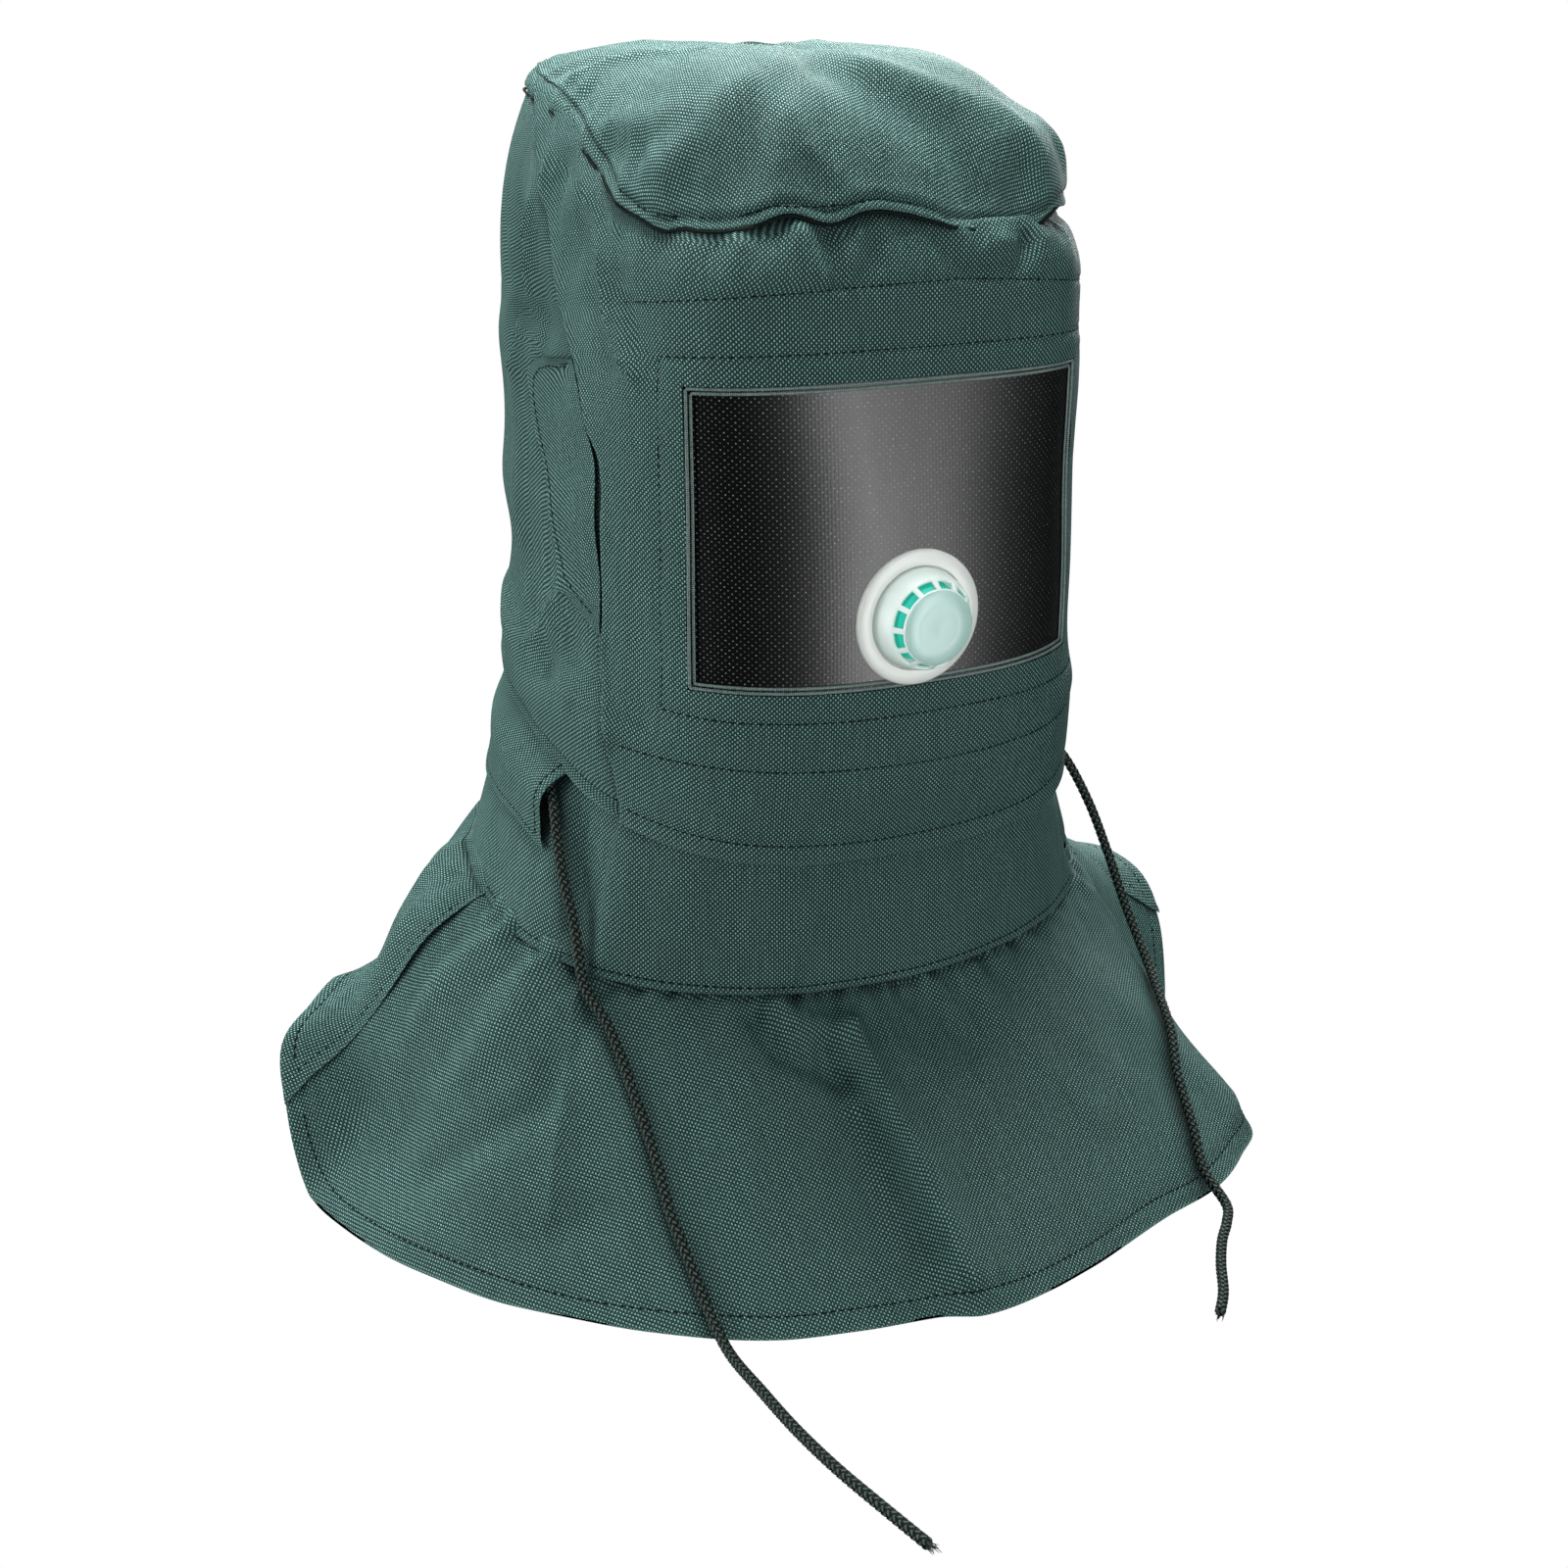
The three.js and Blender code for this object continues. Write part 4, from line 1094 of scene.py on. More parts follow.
@dataclass
class Hood:
    """Crown, side panels, ear patches and visor window."""

    form: HoodForm
    window: Window = Window(right=-45.1, left=39.0, bottom=2.17, top=4.97)
    facing: tuple[Pair, ...] = (
        (-50.5, 5.3), (-50.5, 1.85), (-37, 1.8), (15, 1.8), (46, 1.74), (46, 5.3),
    )
    beads: tuple[Bead, ...] = (
        Bead(inset=0.95, lift=-0.55, half_width=0.8, half_height=0.75),
        Bead(inset=2.75, lift=-1.25, half_width=0.75, half_height=0.5),
    )
    scale: Pair = (2.35, 38.0)
    crown_scale: Pair = (2.2, 15.0)
    lap: float = 5.0
    lap_depth: float = 1.8
    pieces: dict[str, ClothPiece] = field(default_factory=dict)

    def side_folds(self) -> list[Callable]:
        """Folds that run across the side seams, so that both panels share them."""
        return [
            Crease(((-128, 6.6), (-116, 6.55), (-104, 6.65)), 14, 3.2),
            Crease(((-86, 6.93), (-75, 6.72), (-68.1, 6.35), (-66.3, 6.12), (-63, 5.75), (-60.2, 5.3),
                    (-56.1, 5.02)), 3.5, 5.0, Profile.SHARP),
            Crease(((-72, 6.15), (-69, 5.8), (-64, 5.2)), 6, -2.2),
            Crease(((-101.9, 6.62), (-95, 6.83), (-89.4, 6.98)), 4, 2.6, Profile.SHARP),
            Crease(((-88, 6.55), (-78, 6.75)), 5, 2.0),
            Crease(((-85, 6.35), (-76, 6.5)), 5, -1.8),
            Crease(((-106, 6.45), (-107.3, 6.1), (-109, 5.7), (-110, 5.1), (-112, 4.7)),
                   4, 5.0, Profile.SHARP),
            Crease(((-116, 6.2), (-117, 5.6), (-116, 4.9)), 5, -4.0),
            Crease(((-101, 5.9), (-98, 5.5), (-97, 5.2)), 6, -2.0),
            Crease(((-118, 6.4), (-113, 5.9), (-116, 5.3)), 7, -2.5),
            Crease(((-84.2, 2.83), (-92.4, 2.34), (-101.1, 1.53)), 4, 3.4, Profile.SHARP),
            Crease(((-80, 2.3), (-88, 1.7), (-95, 1.2)), 7, -2.4),
            Crease(((-90, 2.5), (-84, 1.9), (-76, 1.5)), 7, 1.8),
            Crease(((-95, 2.2), (-88, 1.6)), 7, -1.6),
            Crease(((-62, 3.2), (-60, 2.2), (-61, 1.3)), 7, 1.2),
        ]

    def front_creases(self) -> list[Callable]:
        """Folds, puckers and pressed seams of the front panel."""
        return [
            Pucker(lambda a: 6.8 + self.form.crown_edge(a) / self.form.wall_drop, 9, 1.4, 17, 4),
            Ripple(0.55, 46, 11),
            *self.side_folds(),
            Crease(((-65.3, 2.5), (-63.6, 1.6), (-61.2, 0.8)), 2.2, 2.4, Profile.SHARP),
            Crease(((-62, 6.3), (-58.4, 5.91), (-55.3, 5.54), (-52, 5.19)), 5, -2.2),
            Crease(((-95, 6.25), (-90, 6.06), (-80, 5.41), (-75, 4.9), (-70.5, 4.4),
                    (-65.5, 3.6), (-65, 2.8), (-64.5, 1.9), (-61, 1.1)), 2.6, 1.5, Profile.SHARP),
            Crease(((-19.3, 6.94), (-18.5, 6.58), (-17.2, 6.2)), 3.0, -3.4),
            Crease(((-25, 6.9), (-22.5, 6.6), (-20.5, 6.3)), 4, 2.0),
            Crease(((-13, 6.9), (-15, 6.5), (-16.2, 6.2)), 3, 2.4, Profile.SHARP),
            Crease(((-9, 6.8), (-10, 6.5), (-13, 6.25)), 3, -1.6),
            Crease(((4.8, 6.75), (7.6, 6.4), (13, 6.24), (21.9, 6.3), (26, 6.7)), 3.5, -2.2),
            Crease(((10, 6.85), (14, 6.6), (20, 6.65)), 5, 2.0),
            Crease(((54, 6.97), (42, 6.93), (33, 6.98)), 4, -3.0),
            Crease(((-61.5, 6.05), (-37, 6.08), (-17, 6.13), (8, 6.18), (38, 6.03), (60, 6.0)), 1.3, -0.8),
            Crease(((-60, 1.0), (60, 1.0)), 1.3, -0.7),
            Crease((*self.facing, self.facing[0]), 1.4, -0.7),
            Crease(((-47.5, 5.12), (43, 5.15)), 2.6, 0.6),
            Crease(((-60, HOOD_ROW), (60, HOOD_ROW)), 1.6, -0.9),
            Crease(((-60, 0.03), (60, 0.03)), 2.4, 0.9),
            Crease(((-56, 2.6), (-55, 1.6)), 6, -1.0),
            Crease(((-55, 1.5), (-35, 1.35), (-10, 1.4)), 7, -0.9),
            Crease(((20, 1.5), (45, 1.35)), 8, 1.0),
        ]

    def rear_edge(self, level: np.ndarray) -> np.ndarray:
        """Angle of the front panel's rear edge."""
        return self.form.side_seam(level)

    def top_edge(self, angle: np.ndarray) -> np.ndarray:
        """Level at which side cloth ends under the crown."""
        return 7 + np.maximum(0, (self.form.crown_edge(wrapped(angle)) + 3) / self.form.wall_drop)

    def front_panel(self) -> ClothPiece:
        """Makes the panel that holds the window.

        Returns:
            The finished piece.
        """
        right, left, bottom, top = self.window
        side = spaced(0, 1, 1 / 18, 0.012)
        share = np.concatenate([side[:-2], np.linspace(1, 2, 88), 2 + side[2:]])
        levels = np.concatenate([
            [0, 0.012], spaced(0.05, bottom - 0.012, 0.05), [bottom],
            np.linspace(bottom, top, 56)[1:-1], [top], spaced(top + 0.012, 6.2, 0.05), spaced(6.24, 7, 0.042),
        ])
        a, l = np.meshgrid(share, levels, indexing="ij")
        edge = self.rear_edge(l)
        from_window = np.where(a <= 2, right + (left - right) * (a - 1), left + (edge - left) * (a - 2))
        angle = np.where(a < 1, -edge + (right + edge) * a, from_window)
        stretch = np.clip((l - 6.2) / 0.8, 0, 1)
        level = l + (self.top_edge(angle) - 7) * stretch
        i, j, hair = share[:-1], levels[:-1], 1e-6
        beside = (i >= 1 - hair) & (i < 2 - hair)
        between = (j >= bottom - hair) & (j < top - hair)
        keep = ~(beside[:, None] & between[None])
        piece = ClothPiece("hood_front", self.form.body, 0.0, self.scale, creases=self.front_creases())
        piece.build(angle, level, keep=keep)
        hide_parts("front_panel")
        piece.declare("draped", ["neck_cloth"])
        return piece

    def back_panel(self) -> ClothPiece:
        """Makes the panel round the sides and back.

        Returns:
            The finished piece.
        """
        share = spaced(0, 1, 1 / 130, 0.002)
        levels = np.concatenate([[0, 0.012], spaced(0.06, 6.2, 0.065), spaced(6.25, 7, 0.05)])
        s, l = np.meshgrid(share, levels, indexing="ij")
        start = self.rear_edge(l) - self.lap
        angle = start + (360 - 2 * start) * s
        level = l + (self.top_edge(angle) - 7) * np.clip((l - 6.2) / 0.8, 0, 1)

        def sunk(a: np.ndarray, v: np.ndarray, scale: Pair) -> np.ndarray:
            """Depth of the lap under the front panel."""
            inside = np.abs(wrapped(a)) - self.rear_edge(np.minimum(v, 7))
            return -self.lap_depth * np.clip((3 - inside) / 4, 0, 1)

        creases = [
            sunk,
            Ripple(0.7, 52, 5),
            *self.side_folds(),
            Crease(((-112, 4.6), (-109, 3.8), (-112, 3.0)), 7, 2.2),
            Crease(((-180, 2.2), (-140, 1.6), (-110, 1.2)), 9, 1.8),
            Crease(((180, 2.0), (145, 1.5), (112, 1.2)), 9, 1.8),
            Crease(((112, 6.2), (107, 5.4), (111, 4.4), (107, 3.2)), 7, 2.5),
            Crease(((150, 6.5), (140, 5.0), (150, 3.8)), 9, 2.0),
            Crease(((-150, 6.3), (-142, 5.2), (-152, 4.0)), 9, 2.2),
            Crease(((172, 4.6), (-170, 3.2), (-176, 2.4)), 10, 1.6),
            Crease(((-180, HOOD_ROW), (-60, HOOD_ROW)), 1.5, -0.9),
            Crease(((180, HOOD_ROW), (60, HOOD_ROW)), 1.5, -0.9),
            Crease(((-180, 0.03), (-60, 0.03)), 2.4, 0.9),
            Crease(((180, 0.03), (60, 0.03)), 2.4, 0.9),
            Pucker(flat_edge(7.0), 12, 1.3, 18, 9),
        ]
        creases = [round_the_back(crease) for crease in creases]
        piece = ClothPiece("hood_back", self.form.body, -1.5, self.scale, creases=creases)
        piece.build(angle, level)
        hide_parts("back_panel")
        piece.declare("draped", ["neck_cloth"])
        return piece

    def crown(self) -> ClothPiece:
        """Makes the crown with its turned edge.

        Returns:
            The finished piece.
        """
        count = 250
        around = np.linspace(-180, 180, count, endpoint=False)
        depth = np.concatenate([[0, 0.012], np.linspace(0.045, 1.0, 24), np.linspace(1.08, 7.95, 62)])
        a, d = np.meshgrid(around, depth, indexing="ij")
        start = self.form.crown_edge(a) / self.form.wall_drop
        climb = np.minimum(start * np.exp(-d / 0.8) + d, 8.0)

        def hem_roll(angle: np.ndarray, level: np.ndarray, scale: Pair) -> np.ndarray:
            """Turned edge with its row of stitches."""
            up = (level - self.form.crown_edge(wrapped(angle)) / self.form.wall_drop) * 40
            return 0.9 * bell(up - 0.8, 2.2) - 1.2 * bell(up - 4.8, 0.9) + 0.6 * bell(up - 8.5, 2.6)

        creases = [
            hem_roll,
            lambda a, v, k: -0.9 * bell(wrapped(a) + 92, 32) * np.exp(-np.maximum(v, 0) / 0.5),
            Pucker(lambda v: 0.6 + self.form.crown_edge(v) / self.form.wall_drop, 9, 1.4, 19, 4),
            Ripple(0.9, 60, 21),
            Crease(((-106, 0.5), (-101, 1.6), (-92, 2.8), (-60, 4.0)), 5, 2.6, Profile.SHARP),
            Crease(((-117, 0.5), (-114, 1.8), (-104, 3.0)), 6, -2.6),
            Crease(((-85.9, 0.1), (-71.5, 0.77), (-49.9, 1.41)), 4, 2.6),
            Crease(((-76.7, 0.2), (-59.5, 0.79), (-49.5, 1.28)), 4, -2.2),
            Crease(((-63.9, 0.16), (-57.9, 0.53), (-47.9, 0.74)), 4, 2.0),
            Crease(((-52, 0.5), (-44.6, 1.22), (-37, 2.15)), 6, 2.4),
            Crease(((-42, 0.5), (-36, 1.2), (-26, 2.4)), 8, -2.0),
            Crease(((-33.4, 0.91), (-27.4, 0.66), (-21.8, 0.26)), 6, -2.4),
            Crease(((-26, 1.5), (-23.4, 0.91), (-17.4, 0.53), (-11.4, 0.13)), 5, 2.8, Profile.SHARP),
            Crease(((-14, 3.2), (-0.2, 1.88), (11.8, 1.03), (21.0, 0.38), (27, 0.12)), 10, -5.0),
            Crease(((0.2, 3.05), (19.0, 1.96), (33.8, 1.23)), 6, 2.6),
            Crease(((30, 0.04), (42, 0.16), (48, 0.35)), 4, 2.6),
            Crease(((-140, 0.6), (-150, 3.0)), 9, 2.0),
            Crease(((130, 0.6), (140, 3.0)), 9, 2.0),
        ]
        piece = ClothPiece("hood_crown", self.form.crown, 2.0, self.crown_scale, creases=creases)
        out, _ = piece.outer(a, climb)
        rows = np.linalg.norm(np.diff(out, axis=1), axis=2)
        reach = np.concatenate([np.zeros((count, 1)), np.cumsum(rows, axis=1)], axis=1)
        reach = reach[:, -1:] - reach + 4
        reach = np.concatenate([reach, reach[:1]])
        turn = np.radians(np.concatenate([a, a[:1] + 360])) + 0.35
        uv = np.stack([reach * np.sin(turn), -reach * np.cos(turn)], -1) * MM
        piece.build(a, climb, closed=True, uv=uv, capped=True)
        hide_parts("crown")
        piece.declare("draped", ["hood_front"])
        return piece

    def ear_patch(self, side: int) -> ClothPiece:
        """Makes the patch over one ear.

        Args:
            side: -1 for the wearer's right, 1 for the left.

        Returns:
            The finished piece.
        """
        bottom, top, clear = 2.52, 5.1, 1.4
        rear = Table(
            (2.5, 2.62, 2.75, 2.87, 3.24, 3.76, 4.14, 4.59, 4.75, 4.9, 5.0, 5.06, 5.1),
            (66.8, 71.5, 79, 85, 86.8, 91, 97.5, 103, 103.6, 100.5, 95, 87.5, 78.5),
        )
        levels = spaced(bottom, top, 0.045, 0.012)
        share = spaced(0, 1, 1 / 30, 0.02)
        s, l = np.meshgrid(share, levels, indexing="ij")
        front = self.rear_edge(l) + clear
        back = np.maximum(front + 1.0, rear(l))
        angle = side * (front + (back - front) * (s if side > 0 else 1 - s))
        name = "ear_cloth_left" if side > 0 else "ear_cloth_right"
        above_lap = self.pieces["back"].creases[1:]
        piece = ClothPiece(name, self.form.body, 0.15, self.scale, wall=1.0, creases=above_lap)
        piece.build(angle, l)
        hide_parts("ear_patch_left" if side > 0 else "ear_patch_right")
        piece.declare("draped", ["hood_back"])
        return piece

    def visor(self) -> bpy.types.Object:
        """Makes the curved film with the hole for the valve.

        Returns:
            The new object.
        """
        right, left, bottom, top = self.window
        angles = np.linspace(right - 4.5, left + 4.5, 110)
        levels = np.linspace(bottom - 0.28, top + 0.28, 90)
        a, l = np.meshgrid(angles, levels, indexing="ij")
        piece = ClothPiece("visor_pane", self.form.body, -2.1, self.scale, wall=0.9)
        out, _ = piece.outer(a, l)
        clear = np.hypot(out[..., 0] - VALVE_CENTRE[0], out[..., 2] - VALVE_CENTRE[1]) > VALVE_HOLE
        keep = clear[:-1, :-1] & clear[1:, :-1] & clear[:-1, 1:] & clear[1:, 1:]
        obj = piece.build(a, l, keep=keep, rolled=0.0)
        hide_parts("visor")
        return obj

    def bead_path(self, inset: float) -> np.ndarray:
        """Angles and levels of a line round the window, its corners cut short.

        Args:
            inset: Distance from the window's edge, into the opening.

        Returns:
            Angle and level of each point.
        """
        right, left, bottom, top = self.window
        per_degree, per_level = self.scale
        da, dl = inset / per_degree, inset / per_level
        a0, a1, l0, l1 = right + da, left - da, bottom + dl, top - dl
        corner = 0.8
        path = []
        for (sa, sl), (ea, el) in (
            ((a0, l0), (a1, l0)), ((a1, l0), (a1, l1)), ((a1, l1), (a0, l1)), ((a0, l1), (a0, l0)),
        ):
            cut = corner / math.hypot((ea - sa) * per_degree, (el - sl) * per_level)
            for t in np.concatenate([[cut, 2 * cut], np.linspace(0.01, 0.99, 70), [1 - 2 * cut, 1 - cut]]):
                path.append((sa + (ea - sa) * t, sl + (el - sl) * t))
        return np.array(path)

    def binding(self) -> bpy.types.Object:
        """Makes the two narrow beads round the window.

        Returns:
            The new object.
        """
        points: list[np.ndarray] = []
        faces: list[list[int]] = []
        uvs: list[Pair] = []
        base, sides = 0, 10
        cloth = ClothPiece("bead", self.form.body, 0.0, self.scale)
        for bead in self.beads:
            line = self.bead_path(bead.inset)
            p, n = cloth.outer(line[:, 0], line[:, 1])
            ahead = np.roll(p, -1, 0) - np.roll(p, 1, 0)
            ahead /= np.linalg.norm(ahead, axis=1, keepdims=True)
            side = np.cross(ahead, n)
            s = np.concatenate([[0], np.cumsum(np.linalg.norm(np.diff(p, axis=0), axis=1))])
            ring = []
            for k in range(sides):
                t = 2 * math.pi * k / sides
                rise = bead.lift + math.sin(t) * bead.half_height
                ring.append(p + side * math.cos(t) * bead.half_width + n * rise)
            points.append(np.stack(ring, 1).reshape(-1, 3))
            count = len(p)
            for i in range(count):
                j = (i + 1) % count
                here, there = base + i * sides, base + j * sides
                start = s[i] * MM
                end = (s[i] + 1 if j == 0 else s[j]) * MM
                for k in range(sides):
                    q = (k + 1) % sides
                    faces.append([here + k, here + q, there + q, there + k])
                    low, high = k * MM, (k + 1) * MM
                    uvs += [(start, low), (start, high), (end, high), (end, low)]
            base += count * sides
        obj = write_mesh("window_beads", np.concatenate(points), faces, np.array(uvs))
        turn_outward(obj)
        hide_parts("window_binding")
        return obj

    def sew(self) -> bpy.types.Object:
        """Sews the rows of stitches of the hood.

        Returns:
            The new object.
        """
        rows = Stitching("hood_stitches")
        front, back, crown = self.pieces["front"], self.pieces["back"], self.pieces["crown"]
        brow = ((-61.5, 6.05), (-37, 6.08), (-17, 6.13), (-7, 6.15), (8, 6.18), (38, 6.03), (62, 6.0))
        rows.row(front, brow)
        rows.row(front, ((-59.5, 1.0), (0, 1.0), (59.5, 1.0)))
        rows.row(front, self.facing, closed=True)
        rows.row(front, [(a, HOOD_ROW) for a in (-58.8, -30, 0, 30, 58.8)])
        rows.row(back, [(a, HOOD_ROW) for a in (61.5, 120, 180, 240, 298.5)])
        around = np.linspace(-180, 180, 49)
        edge = self.form.crown_edge(around) / self.form.wall_drop
        rows.row(crown, [(float(a), float(e) + 0.12) for a, e in zip(around, edge)])
        path = (
            (69.6, 2.72), (76, 2.84), (82, 2.99), (84.4, 3.26), (88.4, 3.76), (94.6, 4.14), (99.6, 4.55),
            (99.8, 4.7), (97, 4.84), (91, 4.94), (82, 4.98),
        )
        for side, piece in ((-1, self.pieces["ear_right"]), (1, self.pieces["ear_left"])):
            rows.row(piece, [(side * a, v) for a, v in path])
        return rows.finish()

    def seam_shadow_lines(self) -> bpy.types.Object:
        """Lays dark thread under the crown's edge and in the gaps of the side seams, partly seam thread and
        partly a painted shadow line.

        Returns:
            The new object.
        """
        rows = Stitching("hood_seam_shadow_thread", radius=0.75)
        around = np.linspace(-180, 179, 180)
        edge = self.form.crown_edge(around) / self.form.wall_drop
        rows.line(self.pieces["crown"], [(float(a), float(e) - 0.02) for a, e in zip(around, edge)], -0.8)
        for side in (-1, 1):
            path = [(side * (float(self.rear_edge(v)) + 0.5), float(v)) for v in np.linspace(2.62, 4.9, 18)]
            rows.line(self.pieces["back"], path, 0.3)
        return rows.finish()

    def build(
        self, cloth: bpy.types.Material, thread: bpy.types.Material, tape: bpy.types.Material,
        film: bpy.types.Material,
    ) -> None:
        """Makes and dresses the whole sub-assembly."""
        self.pieces["front"] = self.front_panel()
        self.pieces["back"] = self.back_panel()
        self.pieces["crown"] = self.crown()
        self.pieces["ear_right"] = self.ear_patch(-1)
        self.pieces["ear_left"] = self.ear_patch(1)
        for piece in self.pieces.values():
            dress(piece.object, cloth)
        dress(self.sew(), thread)
        dress(self.seam_shadow_lines(), thread)
        dress(self.binding(), tape)
        dress(self.visor(), film)


def dress(obj: bpy.types.Object, material: bpy.types.Material) -> None:
    """Gives a piece its material and body.

    Args:
        obj: The piece.
        material: Its material.
    """
    obj.data.materials.clear()
    obj.data.materials.append(material)
    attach(obj, "root")
    LOG.info("%s: %d faces", obj.name, len(obj.data.polygons))


@dataclass
class Cape:
    """Neck band, cord channel and the flared cape."""

    form: HoodForm
    seam: float = 95.0
    neck_scale: Pair = (2.5, 95.0)
    cape_scale: Pair = (3.4, CAPE_FALL)
    neck_row: float = 0.045
    tunnel_row: float = 0.035
    tunnel_top: float = 0.96
    tunnel_low: Table = Table(
        (-180, -119, -106, -94, -86, -79, 79, 86, 94, 106, 119, 180),
        (0.40, 0.37, 0.41, 0.454, 0.468, 0.455, 0.455, 0.468, 0.454, 0.41, 0.37, 0.40),
    )
    cut_radius: float = 275.0
    cut_reach: float = 187.0
    collar_length: float = 170.0
    pieces: dict[str, ClothPiece] = field(default_factory=dict)

    def neck_band(self) -> ClothPiece:
        """Makes the band between hood and cape.

        Returns:
            The finished piece.
        """
        around = np.linspace(-180, 180, 330, endpoint=False)
        climbs = np.concatenate([[0, 0.006], np.linspace(0.022, 1, 44)])
        a, c = np.meshgrid(around, climbs, indexing="ij")
        creases = [
            Ripple(0.6, 55, 31),
            Crease(((-62.2, 0.95), (-63.7, 0.59), (-65.2, -0.05)), 0.5, 2.2, Profile.STEP),
            Crease(((-74, 0.75), (-71, 0.5), (-69, 0.2)), 6, -3.0),
            Crease(((-58, 0.9), (-60, 0.5), (-62, 0.05)), 5, 0.8),
            Crease(((-70, 0.85), (-69, 0.4), (-71, 0.1)), 7, -1.6),
            Crease(((63.5, 0.33), (67, 0.15), (74, 0.02)), 5, -3.0),
            Crease(((58, 0.5), (61, 0.1)), 6, 1.5),
            Crease(((-180, self.neck_row), (180, self.neck_row)), 1.3, -0.6),
            Crease(((-30, 0.8), (-26, 0.2)), 10, 0.9),
            Crease(((12, 0.7), (18, 0.2)), 9, -0.9),
            Crease(((-100, 0.3), (-88, 0.1)), 6, -1.2),
        ]
        piece = ClothPiece("neck_cloth", self.form.neck, 0.0, self.neck_scale, creases=creases)
        piece.build(a, c, closed=True)
        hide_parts("neck_band")
        piece.declare("draped", ["cape_cloth_front"])
        return piece

    def channel(self) -> ClothPiece:
        """Makes the cord channel round the back of the neck.

        Returns:
            The finished piece.
        """
        mouth = Table((0.45, 0.5, 0.646, 0.779, 0.914, 0.96), (79.6, 80.8, 81.0, 80.0, 76.8, 76.0))
        share = spaced(0, 1, 1 / 190, 0.0015)
        rows = spaced(0, 1, 1 / 22, 0.012)
        s, r = np.meshgrid(share, rows, indexing="ij")
        start = mouth(0.45 + 0.51 * r)
        angle = start + (360 - 2 * start) * s
        bottom = self.tunnel_low(wrapped(angle))
        climb = bottom + (self.tunnel_top - bottom) * r

        def tunnel(a: np.ndarray, v: np.ndarray, scale: Pair) -> np.ndarray:
            """Swell over the cord, open at both mouths."""
            inside = np.abs(wrapped(a)) - 80
            swell = 2.0 * bell(v - 0.66, 0.07) + 3.6 * bell(v - 0.72, 0.16) * bell(wrapped(a) + 104, 18)
            mouth_lift = 4.0 * bell(inside - 1.5, 3.5) * bell(v - 0.74, 0.09) * (wrapped(a) < 0)
            hem_fade = np.clip((v - 0.42) / 0.1, 0, 1)
            return swell + mouth_lift + 1.4 * np.exp(-np.maximum(inside, 0) / 3) * hem_fade

        def sewn(a: np.ndarray, v: np.ndarray, scale: Pair) -> np.ndarray:
            """Groove of the lower row of stitches."""
            return -0.5 * bell((v - self.tunnel_low(wrapped(a)) - self.tunnel_row) * scale[1], 1.2)

        creases = [tunnel, round_the_back(Ripple(0.5, 45, 31)), sewn]
        piece = ClothPiece("cord_tunnel", self.form.neck, 1.5, self.neck_scale, wall=1.1, creases=creases)
        piece.build(angle, climb)
        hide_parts("cord_channel")
        piece.declare("draped", ["neck_cloth"])
        return piece

    def panel(self, name: str, angles: np.ndarray, depth: float, creases: Sequence[Callable]) -> ClothPiece:
        """Makes one half of the cape with its collar inside the neck band.

        Args:
            name: Name of the new piece.
            angles: Angles of its columns.
            depth: Distance of its outer face below the surface.
            creases: Folds of its cloth.

        Returns:
            The finished piece.
        """
        falls = np.concatenate([[1.0, 0.997], np.linspace(0.985, 0.0, 84), [-0.012, -0.03, -0.05]])
        a, f = np.meshgrid(angles, falls, indexing="ij")

        def collar(angle: np.ndarray, level: np.ndarray, scale: Pair) -> np.ndarray:
            """Dip below the neck band."""
            return -(depth + 0.4 + 1.1 * np.clip((0.02 - level) / 0.02, 0, 1))

        piece = ClothPiece(
            name, self.form.cape_wall, 0.0, self.cape_scale, sign=-1, creases=[collar, *creases]
        )
        middle = self.form.cape(angles, np.full(angles.shape, 0.5))
        top = self.form.cape(a, np.zeros(f.shape))
        slant = np.linalg.norm(self.form.cape(a, np.maximum(f, 0)) - top, axis=-1)
        slant += np.minimum(f, 0) * self.collar_length
        steps = np.linalg.norm(np.diff(middle, axis=0), axis=1)
        turn = np.concatenate([[0], np.cumsum(steps)]) / self.cut_radius
        turn -= turn.mean()
        reach = self.cut_reach + slant
        uv = np.stack([reach * np.sin(turn)[:, None], -reach * np.cos(turn)[:, None]], -1) * MM
        piece.build(a, f, uv=uv, floor=True)
        return piece

